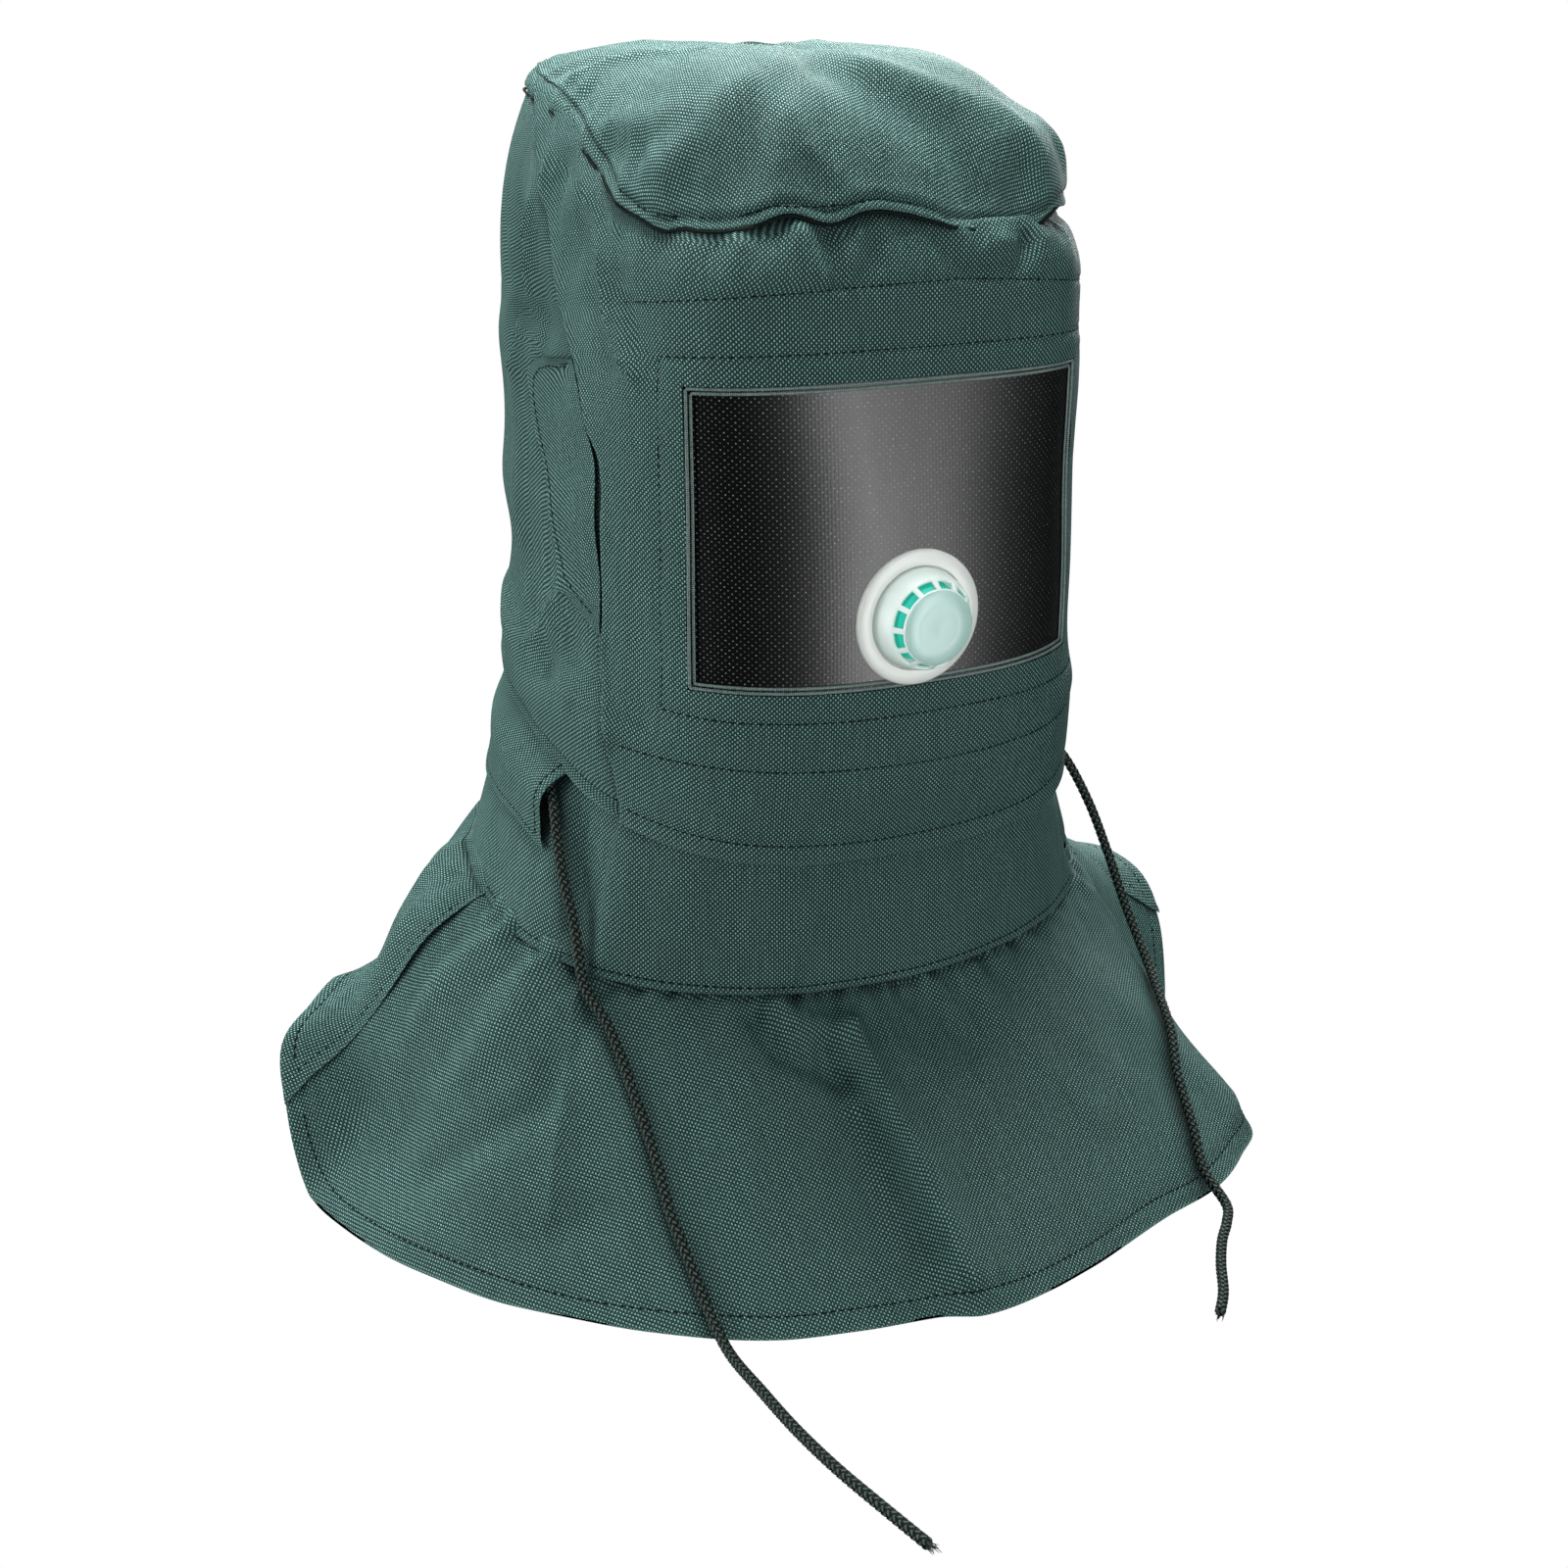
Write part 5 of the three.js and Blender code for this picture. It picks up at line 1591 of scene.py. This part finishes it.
    def front(self) -> ClothPiece:
        """Makes the cape's front half."""
        creases = [
            Ripple(0.9, 70, 41),
            Pucker(flat_edge(0.0), 16, 1.6, 24, 6),
            Crease(((-97, CAPE_ROW), (97, CAPE_ROW)), 2.2, -0.5),
            Crease(((-13.6, 0.11), (-11.3, 0.23), (-10.5, 0.33), (-8.7, 0.51), (-7.9, 0.74),
                    (-6.9, 0.9)), 6, 5.5, Profile.SHARP),
            Crease(((-19.5, 0.17), (-16.5, 0.31), (-14, 0.49), (-12.5, 0.73), (-11.8, 0.8)), 7, -5.0),
            Crease(((-33.5, 0.06), (-29.4, 0.16), (-22.3, 0.22), (-17.4, 0.27)), 5, -4.5),
            Crease(((-30, 0.02), (-22, 0.1), (-14, 0.12)), 5, 4.0),
            Crease(((-8, 0.05), (-4, 0.2), (0, 0.35)), 9, 2.0),
            Crease(((4, 0.05), (10, 0.25)), 8, -2.5),
            Crease(((20, 0.05), (22, 0.3), (26, 0.6)), 9, 2.4),
            Crease(((-65.5, 0.06), (-60.4, 0.38), (-56.3, 0.72)), 5, 3.2, Profile.SHARP),
            Crease(((-63, 0.08), (-63, 0.42), (-68.5, 0.56), (-75.5, 0.72)), 7, -4.0),
            Crease(((-74, 0.03), (-74, 0.3), (-79, 0.5)), 8, 2.6),
            Crease(((-46, 0.2), (-49, 0.45), (-48, 0.6)), 9, 2.0),
            Crease(((-48, 0.6), (-54, 0.75), (-60, 0.85)), 9, -2.0),
            Crease(((-100, 0.26), (-84, 0.24)), 30, 9.0),
            Crease(((-100, 0.74), (-84, 0.76)), 26, -8.0),
            Crease(((-84.5, 0.0), (-88, 0.3), (-91, 0.6)), 6, 2.6),
            Crease(((-79, 0.05), (-80, 0.4), (-84, 0.7)), 8, -2.2),
            Crease(((-35, 0.5), (-34, 0.95)), 12, 1.6),
            Crease(((66, 0.03), (68, 0.3)), 6, 2.0),
        ]
        angles = spaced(-self.seam - 2.5, self.seam + 2.5, 0.62, 0.25)
        piece = self.panel("cape_cloth_front", angles, 1.5, creases)
        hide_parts("cape_front")
        piece.declare("draped")
        return piece

    def back(self) -> ClothPiece:
        """Makes the cape's back half."""

        def hem_row(a: np.ndarray, v: np.ndarray, scale: Pair) -> np.ndarray:
            """Groove of the stitches over the hem."""
            return -0.5 * bell((v - CAPE_ROW) * scale[1], 2.2)

        def side_row(a: np.ndarray, v: np.ndarray, scale: Pair) -> np.ndarray:
            """Groove of the stitches along both side edges."""
            return -0.6 * bell((np.abs(a) - self.seam - 1.0) * scale[0], 1.1)

        creases = [round_the_back(crease) for crease in (
            Ripple(1.4, 85, 51),
            Pucker(flat_edge(0.09), 13, 1.3, 26, 8),
            hem_row,
            Crease(((-130, 0.3), (-94, 0.25)), 30, 9.0),
            Crease(((-112, 0.74), (-94, 0.74)), 26, -8.0),
            Crease(((-112, 0.03), (-110, 0.4), (-104, 0.8)), 7, 2.6),
            Crease(((-100, 0.3), (-97.8, 0.6)), 5, 1.6),
            Crease(((110, 0.03), (108, 0.5)), 7, 2.0),
            side_row,
        )]
        angles = spaced(self.seam, 360 - self.seam, 0.8, 0.25)
        piece = self.panel("cape_cloth_back", angles, 0.0, creases)
        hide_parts("cape_back")
        piece.declare("draped")
        return piece

    def sew(self) -> bpy.types.Object:
        """Sews the rows of stitches of neck and cape.

        Returns:
            The new object.
        """
        rows = Stitching("cape_stitches")
        neck, tunnel = self.pieces["neck"], self.pieces["channel"]
        front, back = self.pieces["front"], self.pieces["back"]
        rows.row(neck, [(float(a), self.neck_row) for a in np.linspace(-180, 180, 25)])
        around = np.linspace(82.5, 277.5, 27)
        low = self.tunnel_low(wrapped(around)) + self.tunnel_row
        rows.row(tunnel, [(float(a), float(v)) for a, v in zip(around, low)])
        mouth = ((82.6, 0.50), (82.9, 0.646), (82.2, 0.78), (79.4, 0.9))
        for side in (-1, 1):
            rows.row(tunnel, [(side * a, v) for a, v in mouth])
        rows.row(front, [(float(a), CAPE_ROW) for a in np.linspace(-93.5, 93.5, 25)])
        rows.row(back, [(float(a), CAPE_ROW) for a in np.linspace(97, 263, 25)])
        for start in (96.1, 263.9):
            rows.row(back, [(start, 0.05), (start, 0.5), (start, CAPE_ROW)])
        return rows.finish()

    def build(self, cloth: bpy.types.Material, thread: bpy.types.Material) -> None:
        """Makes and dresses the whole sub-assembly."""
        self.pieces["front"] = self.front()
        self.pieces["back"] = self.back()
        self.pieces["neck"] = self.neck_band()
        self.pieces["channel"] = self.channel()
        for piece in self.pieces.values():
            dress(piece.object, cloth)
        dress(self.sew(), thread)


@dataclass
class Valve:
    """Breathing valve, turned about its own axis and set into the visor."""

    tilt: float = 2.2
    standoff: float = 135.9
    segments: int = 96
    slots: int = 12
    slot_band: Pair = (16.6, 20.4)
    rib_share: float = 0.14

    def turned(self, name: str, profile: Sequence[Pair], closed: bool = True) -> bpy.types.Object:
        """Turns a profile by extruding a circle from station to station.

        Args:
            name: Name of the new object.
            profile: Radius and height of each station.
            closed: True where the last station joins the first.

        Returns:
            The new object, about +Z, in metres.
        """
        radius, height = profile[0]
        bpy.ops.object.select_all(action="DESELECT")
        bpy.ops.mesh.primitive_circle_add(
            vertices=self.segments, radius=radius * MM, fill_type="NOTHING", location=(0, 0, height * MM)
        )
        obj = bpy.context.object
        obj.name = name
        obj.data.name = name
        bpy.ops.object.transform_apply(location=True, rotation=True, scale=True)
        bpy.ops.object.mode_set(mode="EDIT")
        bpy.ops.mesh.select_all(action="SELECT")
        stations = list(profile[1:]) + ([profile[0]] if closed else [])
        last, low = radius, height
        for radius, height in stations:
            bpy.ops.mesh.extrude_edges_move(TRANSFORM_OT_translate={"value": (0, 0, (height - low) * MM)})
            if radius < 0.01:
                bpy.ops.mesh.merge(type="CENTER")
                break
            factor = radius / last
            bpy.ops.transform.resize(value=(factor, factor, 1), center_override=(0, 0, height * MM))
            last, low = radius, height
        bpy.ops.object.mode_set(mode="OBJECT")
        turn_outward(obj)
        return obj

    def seat(self, obj: bpy.types.Object) -> None:
        """Turns a shape about +Z so that it points out of the visor."""
        x, z = VALVE_CENTRE
        place = Matrix.Translation((x * MM, -self.standoff * MM, z * MM))
        obj.data.transform(place @ Matrix.Rotation(math.radians(90 + self.tilt), 4, "X"))

    def softened(self, obj: bpy.types.Object, width: float, segments: int = 2) -> None:
        """Rounds the edges of a turned shape."""
        only(obj)
        bevel = obj.modifiers.new("edge", "BEVEL")
        bevel.width = width * MM
        bevel.segments = segments
        bevel.limit_method = "ANGLE"
        bevel.angle_limit = math.radians(35)
        bpy.ops.object.modifier_apply(modifier=bevel.name)
        bpy.ops.object.shade_smooth_by_angle(angle=math.radians(42))

    def base(self) -> bpy.types.Object:
        """Makes the flange with its double rim."""
        obj = self.turned("valve_flange", (
            (17.4, -6), (19, -6), (19, 0), (26, 0), (26, 2.6), (31, 2.6), (31, 3.4), (30.5, 3.6), (30.5, 3.9),
            (31, 4.1), (31, 4.5), (29.8, 5.2), (24.1, 5.2), (23.9, 3.4), (17.4, 3.4),
        ))
        self.softened(obj, 0.22)
        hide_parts("valve_base")
        return obj

    def dome(self) -> bpy.types.Object:
        """Makes the cap: a dome with slots and ribs between them."""
        obj = self.turned("valve_dome", (
            (23.4, 3.7), (23.2, 6.0), (22.7, 9.0), (22.3, 11.5), (21.7, 14.0), (21.0, 15.7), (20.4, 16.5),
            (17.5, 20.5), (17.1, 21.4),
        ), closed=False)
        only(obj)
        bpy.ops.object.mode_set(mode="EDIT")
        bpy.ops.mesh.select_all(action="DESELECT")
        bpy.ops.object.mode_set(mode="OBJECT")
        step = 2 * math.pi / self.slots
        low, high = self.slot_band
        for face in obj.data.polygons:
            c = face.center
            turn = (math.atan2(c.y, c.x) + 4 * math.pi) % step
            if low * MM < c.z < high * MM and min(turn, step - turn) > step * self.rib_share:
                face.select = True
        bpy.ops.object.mode_set(mode="EDIT")
        bpy.ops.mesh.delete(type="FACE")
        bpy.ops.mesh.select_all(action="SELECT")
        bpy.ops.mesh.normals_make_consistent(inside=False)
        bpy.ops.object.mode_set(mode="OBJECT")
        wall = obj.modifiers.new("wall", "SOLIDIFY")
        wall.thickness = 1.5 * MM
        wall.offset = -1
        bpy.ops.object.modifier_apply(modifier=wall.name)
        turn_outward(obj)
        self.softened(obj, 0.18)
        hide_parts("valve_cap")
        return obj

    def face(self) -> bpy.types.Object:
        """Makes the mint face of the cap with its faint moulding ring."""
        obj = self.turned("valve_face", (
            (16.9, 20.2), (16.9, 21.9), (16.2, 22.4), (10.0, 22.5), (9.6, 22.48), (9.2, 22.5), (2.2, 22.5),
            (1.8, 22.48), (0.0, 22.48),
        ), closed=False)
        under = self.turned("valve_face_under", ((16.9, 20.2), (0.0, 20.2)), closed=False)
        only(obj)
        under.select_set(True)
        bpy.ops.object.join()
        turn_outward(obj)
        self.softened(obj, 0.15)
        return obj

    def membrane(self) -> bpy.types.Object:
        """Makes the soft teal cup behind the slots."""
        obj = self.turned("valve_cup", (
            (0.001, 4.0), (18.9, 4.0), (18.9, 4.9), (16.0, 11.5), (17.8, 16.0), (15.6, 18.9), (0.0, 18.9),
        ), closed=False)
        self.softened(obj, 0.2)
        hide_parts("valve_membrane")
        return obj

    def back_ring(self) -> bpy.types.Object:
        """Makes the nut behind the visor."""
        obj = self.turned("valve_nut", ((19.3, -6), (28, -6), (28, -4.6), (27.4, -4), (19.3, -4)))
        self.softened(obj, 0.2)
        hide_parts("valve_back_ring")
        return obj

    def build(self) -> None:
        """Makes and dresses the whole sub-assembly."""
        # The glow of each plastic is painted light, for light passing through it.
        white = FrostedPlastic("valve_white", (0.68, 0.71, 0.68, 1), (0.61, 0.64, 0.61, 1), glow=0.02)
        frosted = FrostedPlastic(
            "valve_frosted", (0.78, 0.86, 0.83, 1), (0.72, 0.82, 0.79, 1), depth=0.6, glow=0.05
        )
        mint = FrostedPlastic("valve_mint", (0.42, 0.62, 0.575, 1), (0.35, 0.54, 0.50, 1), 0.40, 0.6, 0.04)
        teal = FrostedPlastic("valve_teal", (0.03, 0.60, 0.46, 1), (0.02, 0.48, 0.37, 1), 0.5, 0.2, 0.35)
        white, frosted, mint, teal = (plastic.make() for plastic in (white, frosted, mint, teal))
        for obj, material, slot in (
            (self.base(), white, "valve_white"), (self.dome(), frosted, "valve_white"),
            (self.face(), mint, "valve_mint"), (self.membrane(), teal, "valve_teal"),
            (self.back_ring(), white, "valve_white"),
        ):
            self.seat(obj)
            dress(obj, material)
            obj.visible_glossy = False


def between(u: np.ndarray, span: Pair, first: np.ndarray, last: np.ndarray) -> np.ndarray:
    """Points on the way from first to last, as u runs over the span."""
    low, high = span
    return (high - u) / (high - low) * first + (u - low) / (high - low) * last


@dataclass
class Cord:
    """Round braided cord that hangs out of the channel."""

    name: str
    node: str
    form: HoodForm
    run: Sequence[tuple]
    radius: float = 2.5
    lift: float = 2.8
    strands: int = 4
    lay: float = 3.6
    sides: int = 28
    fibres: int = 16

    def station(self, row: tuple) -> np.ndarray:
        """Place of one row of the route."""
        kind = row[0]
        if kind == "free":
            return np.array(row[1:4], float)
        surface, sign = (self.form.neck, 1.0) if kind == "neck" else (self.form.cape, -1.0)
        cloth = ClothPiece("route", surface, self.lift, (1.0, 1.0), sign=sign)
        p, _ = cloth.outer(np.array([row[1]]), np.array([row[2]]))
        return p[0]

    def route(self, step: float = 0.45) -> np.ndarray:
        """Smooth line through the stations.

        Args:
            step: Distance between its points.

        Returns:
            Points in millimetres.
        """
        p = np.array([self.station(row) for row in self.run])
        p = np.concatenate([[2 * p[0] - p[1]], p, [2 * p[-1] - p[-2]]])
        points = []
        for k in range(1, len(p) - 2):
            q = p[k - 1:k + 3]
            t = np.concatenate([[0], np.cumsum(np.sqrt(np.linalg.norm(np.diff(q, axis=0), axis=1)))])
            u = np.linspace(t[1], t[2], 40, endpoint=False)[:, None]
            a = [between(u, (t[i], t[i + 1]), q[i], q[i + 1]) for i in range(3)]
            b = [between(u, (t[i], t[i + 2]), a[i], a[i + 1]) for i in range(2)]
            points.append(between(u, (t[1], t[2]), b[0], b[1]))
        line = np.concatenate(points + [p[-2:-1]])
        s = np.concatenate([[0], np.cumsum(np.linalg.norm(np.diff(line, axis=0), axis=1))])
        at = np.linspace(0, s[-1], int(s[-1] / step) + 1)
        return np.stack([np.interp(at, s, line[:, k]) for k in range(3)], -1)

    def directions(self, p: np.ndarray) -> tuple[np.ndarray, np.ndarray, np.ndarray]:
        """Directions along the cord and across it, without a twist.

        Args:
            p: Points of the route.

        Returns:
            Ahead, to the side and up at each point.
        """
        ahead = np.gradient(p, axis=0)
        ahead /= np.linalg.norm(ahead, axis=1, keepdims=True)
        side = np.zeros_like(p)
        side[0] = np.cross(ahead[0], (0, 0, 1))
        side[0] /= np.linalg.norm(side[0])
        for k in range(1, len(p)):
            turned = side[k - 1] - ahead[k] * (side[k - 1] @ ahead[k])
            side[k] = turned / np.linalg.norm(turned)
        return ahead, side, np.cross(side, ahead)

    def braid(
        self, p: np.ndarray, side: np.ndarray, up: np.ndarray, s: np.ndarray
    ) -> tuple[np.ndarray, np.ndarray]:
        """Surface of the braid, whose strands cross over and under.

        Args:
            p: Points of the route.
            side: Direction to the side at each point.
            up: Direction up at each point.
            s: Length of cord up to each point.

        Returns:
            Points of the surface, and how high each lies on its strand.
        """
        phi = 2 * math.pi * np.arange(self.sides) / self.sides
        around, along = np.meshgrid(phi, s)
        u, w = self.strands * around / (2 * math.pi), along / self.lay
        one, two = u + w, u - w
        over = (np.floor(one) + np.floor(two)) % 2 == 0
        height = np.where(over, np.abs(np.sin(math.pi * one)), np.abs(np.sin(math.pi * two)))
        height = height ** 0.7
        taper = np.clip((s[-1] - along) / 1.5, 0.35, 1)
        radius = self.radius * (0.74 + 0.28 * height) * taper
        out = side[:, None] * np.cos(around)[..., None] + up[:, None] * np.sin(around)[..., None]
        grid = p[:, None] + radius[..., None] * out
        grid[..., 2] = np.maximum(grid[..., 2], 0.05)
        return grid, height

    def frays(
        self, tip: np.ndarray, ahead: np.ndarray, side: np.ndarray, up: np.ndarray
    ) -> list[np.ndarray]:
        """Loose fibres at the bare end.

        Args:
            tip: End of the cord.
            ahead: Direction out of the end.
            side: Direction to the side of it.
            up: Direction up from it.

        Returns:
            Points of each fibre, four to a ring.
        """
        rng = np.random.default_rng(len(self.name))
        fibres = []
        for _ in range(self.fibres):
            spread = rng.uniform(-1, 1, 2)
            across = side * spread[0] + up * spread[1]
            start = tip + across * 1.1 - ahead * 1.2
            end = tip + ahead * rng.uniform(1.8, 4.2) + across * 2.2
            bend = (side * rng.uniform(-1, 1) + up * rng.uniform(-1, 1)) * 0.8
            rings = []
            for t in np.linspace(0, 1, FIBRE_RINGS):
                c = start + (end - start) * t + bend * math.sin(math.pi * t)
                size = 0.34 * (1 - 0.7 * t)
                c[2] = max(c[2], 0.4)
                for k in range(4):
                    angle = math.pi * k / 2
                    rings.append(c + (side * math.cos(angle) + up * math.sin(angle)) * size)
            fibres.append(np.array(rings))
        return fibres

    def build(self, material: bpy.types.Material) -> bpy.types.Object:
        """Args:
            material: Its braid.

        Returns:
            The new object.
        """
        p = self.route()
        ahead, side, up = self.directions(p)
        s = np.concatenate([[0], np.cumsum(np.linalg.norm(np.diff(p, axis=0), axis=1))])
        grid, height = self.braid(p, side, up, s)
        m, n = len(p), self.sides
        ids = np.arange(m * n).reshape(m, n)
        beside = np.roll(ids, -1, 1)
        quads = np.stack([ids[:-1], beside[:-1], beside[1:], ids[1:]], -1).reshape(-1, 4)
        faces = quads.tolist() + [list(range(n))[::-1], list(range((m - 1) * n, m * n))]
        points = [grid.reshape(-1, 3)]
        strand = [height.ravel()]
        base = m * n
        for fibre in self.frays(p[-1], ahead[-1], side[-1], up[-1]):
            points.append(fibre)
            strand.append(np.full(len(fibre), 0.85))
            for ring in range(FIBRE_RINGS - 1):
                for k in range(4):
                    a, b = base + ring * 4 + k, base + ring * 4 + (k + 1) % 4
                    faces.append([a, b, b + 4, a + 4])
            last = base + len(fibre) - 4
            faces += [[base + 3, base + 2, base + 1, base], [last, last + 1, last + 2, last + 3]]
            base += len(fibre)
        obj = write_mesh(self.name, np.concatenate(points), faces)
        values = obj.data.attributes.new("strand", "FLOAT", "POINT")
        values.data.foreach_set("value", np.concatenate(strand).astype(np.float32))
        only(obj)
        bpy.ops.object.mode_set(mode="EDIT")
        bpy.ops.mesh.select_all(action="SELECT")
        bpy.ops.mesh.normals_make_consistent(inside=False)
        bpy.ops.object.mode_set(mode="OBJECT")
        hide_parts(self.node)
        dress(obj, material)
        LOG.info("%s: %.3f m", self.name, s[-1] * MM)
        return obj


@dataclass
class Studio:
    """White stage, soft lights and the camera."""

    eye: tuple[float, float, float] = (-0.5177, -0.9882, 0.5548)
    turn: float = -27.65
    pitch: float = 18.93
    sensor: float = 36.0
    focal_share: float = 2346 / 1600

    def camera(self) -> None:
        """Sets the camera at the photograph's angle."""
        a, e = math.radians(self.turn), math.radians(self.pitch)
        back = Vector((math.sin(a) * math.cos(e), -math.cos(a) * math.cos(e), math.sin(e)))
        right = Vector((0, 0, 1)).cross(back).normalized()
        up = back.cross(right)
        data = bpy.data.cameras.new("camera")
        data.sensor_width = self.sensor
        data.sensor_fit = "HORIZONTAL"
        data.lens = self.focal_share * self.sensor
        data.clip_end = 2000
        obj = bpy.data.objects.new("camera", data)
        bpy.context.scene.collection.objects.link(obj)
        matrix = Matrix((right, up, back)).transposed().to_4x4()
        matrix.translation = Vector(self.eye)
        obj.matrix_world = matrix
        bpy.context.scene.camera = obj

    def light(self, name: str, place: Sequence[float], aim: Sequence[float], size: Pair, power: float,
              only_gloss: bool = False, dull: bool = False) -> None:
        """Adds a soft rectangular light.

        Args:
            name: Name of the light.
            place: Where it stands.
            aim: What it points at.
            size: Width and height.
            power: Watts.
            only_gloss: True where it shows in gloss alone.
            dull: True where it makes no highlight.
        """
        data = bpy.data.lights.new(name, "AREA")
        data.shape = "RECTANGLE"
        data.size, data.size_y = size
        data.energy = power
        obj = bpy.data.objects.new(name, data)
        bpy.context.scene.collection.objects.link(obj)
        obj.location = place
        obj.rotation_euler = (Vector(aim) - Vector(place)).to_track_quat("-Z", "Y").to_euler()
        obj.visible_camera = False
        obj.visible_diffuse = not only_gloss
        obj.visible_glossy = not dull
        data.use_shadow = not only_gloss

    def stage(self) -> None:
        """Lays a plain white floor and closes the room round it."""
        sheet = NodeSheet("stage_white")
        glow = sheet.add("ShaderNodeEmission")
        glow.inputs["Color"].default_value = (1, 1, 1, 1)
        glow.inputs["Strength"].default_value = 1.0
        output = sheet.tree.nodes["Material Output"]
        sheet.tree.links.new(glow.outputs[0], output.inputs["Surface"])
        bpy.ops.object.select_all(action="DESELECT")
        bpy.ops.mesh.primitive_circle_add(vertices=64, radius=9, fill_type="NGON", location=(0, 0, -0.0006))
        floor = bpy.context.object
        floor.name = "stage_floor"
        bpy.ops.object.transform_apply(location=True, rotation=True, scale=True)
        bpy.ops.object.mode_set(mode="EDIT")
        bpy.ops.mesh.select_mode(type="EDGE")
        bpy.ops.mesh.select_all(action="SELECT")
        bpy.ops.mesh.extrude_edges_move(TRANSFORM_OT_translate={"value": (0, 0, 8)})
        bpy.ops.object.mode_set(mode="OBJECT")
        floor.data.materials.append(sheet.material)
        for flag in ("visible_diffuse", "visible_glossy", "visible_shadow", "visible_transmission"):
            setattr(floor, flag, False)

    def build(self) -> None:
        """Sets up stage, lights and camera."""
        self.camera()
        self.stage()
        world = bpy.data.worlds.new("studio")
        bpy.context.scene.world = world
        world.use_nodes = True
        world.node_tree.nodes["Background"].inputs["Color"].default_value = (0.95, 1.0, 0.99, 1)
        world.node_tree.nodes["Background"].inputs["Strength"].default_value = 0.29
        world.cycles_visibility.glossy = False
        self.light("top", (0.2, 0.8, 1.6), (0, 0, 0.4), (1.4, 1.2), 41)
        self.light("crown", (0.0, 0.03, 1.0), (0.0, -0.03, 0.5), (0.42, 0.34), 9.2)
        self.light("left_rear", (-1.6, 0.75, 0.25), (0, 0, 0.33), (1.0, 1.3), 37)
        self.light("right_rear", (1.25, 1.1, 0.9), (0, 0, 0.25), (1.0, 1.4), 34)
        self.light("front", (-0.25, -2.0, 0.45), (0, 0, 0.27), (1.2, 0.9), 20, dull=True)
        self.light("visor_glint", (0.30, -0.93, 0.16), (-0.015, -0.135, 0.33), (0.24, 0.8), 12.0, True)
        view = bpy.context.scene.view_settings
        view.view_transform = "Standard"
        view.look = "None"
        view.exposure = 0.0
        view.gamma = 1.0


LONG_RUN = (
    ("neck", -83.4, 0.775), ("neck", -79.2, 0.68), ("neck", -76.6, 0.571), ("neck", -73.1, 0.418),
    ("neck", -68.5, 0.204), ("cape", -64.2, 0.05), ("cape", -58.2, 0.14), ("cape", -54, 0.236),
    ("cape", -49.5, 0.364), ("cape", -45.2, 0.507), ("cape", -41.5, 0.671), ("cape", -38.5, 0.79),
    ("cape", -35.8, 0.914), ("free", -141, -217, 2.5), ("free", -142, -251, 2.5), ("free", -142, -282, 2.5),
    ("free", -140, -312, 2.5), ("free", -136, -343, 2.5), ("free", -132, -371, 2.5),
)
SHORT_RUN = (
    ("neck", 79.2, 0.68), ("free", 152, -30, 173), ("free", 164, -37, 148), ("free", 171, -47, 121),
    ("free", 175, -60, 94), ("cape", 63, 0.43), ("cape", 56, 0.49), ("cape", 50, 0.55), ("cape", 44, 0.65),
    ("cape", 38, 0.8), ("cape", 34, 0.92), ("free", 128, -216, 2.5), ("free", 118, -229, 2.5),
    ("free", 106, -241, 2.5), ("free", 92, -258, 2.5), ("free", 77, -279, 2.5), ("free", 65, -292, 2.5),
)


def main() -> None:
    """Builds the hood in order."""
    logging.basicConfig(level=logging.INFO, format="%(message)s")
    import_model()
    form = HoodForm()
    Studio().build()
    braid = BraidedCord().make()
    Cord("cord_long", "cord_right", form, LONG_RUN).build(braid)
    Cord("cord_short", "cord_left", form, SHORT_RUN).build(braid)
    cloth = CoatedWeave().make()
    thread = Thread().make()
    Cape(form).build(cloth, thread)
    Hood(form).build(cloth, thread, BoundEdge().make(), VisorFilm().make())
    Valve().build()


if __name__ == "__main__":
    main()
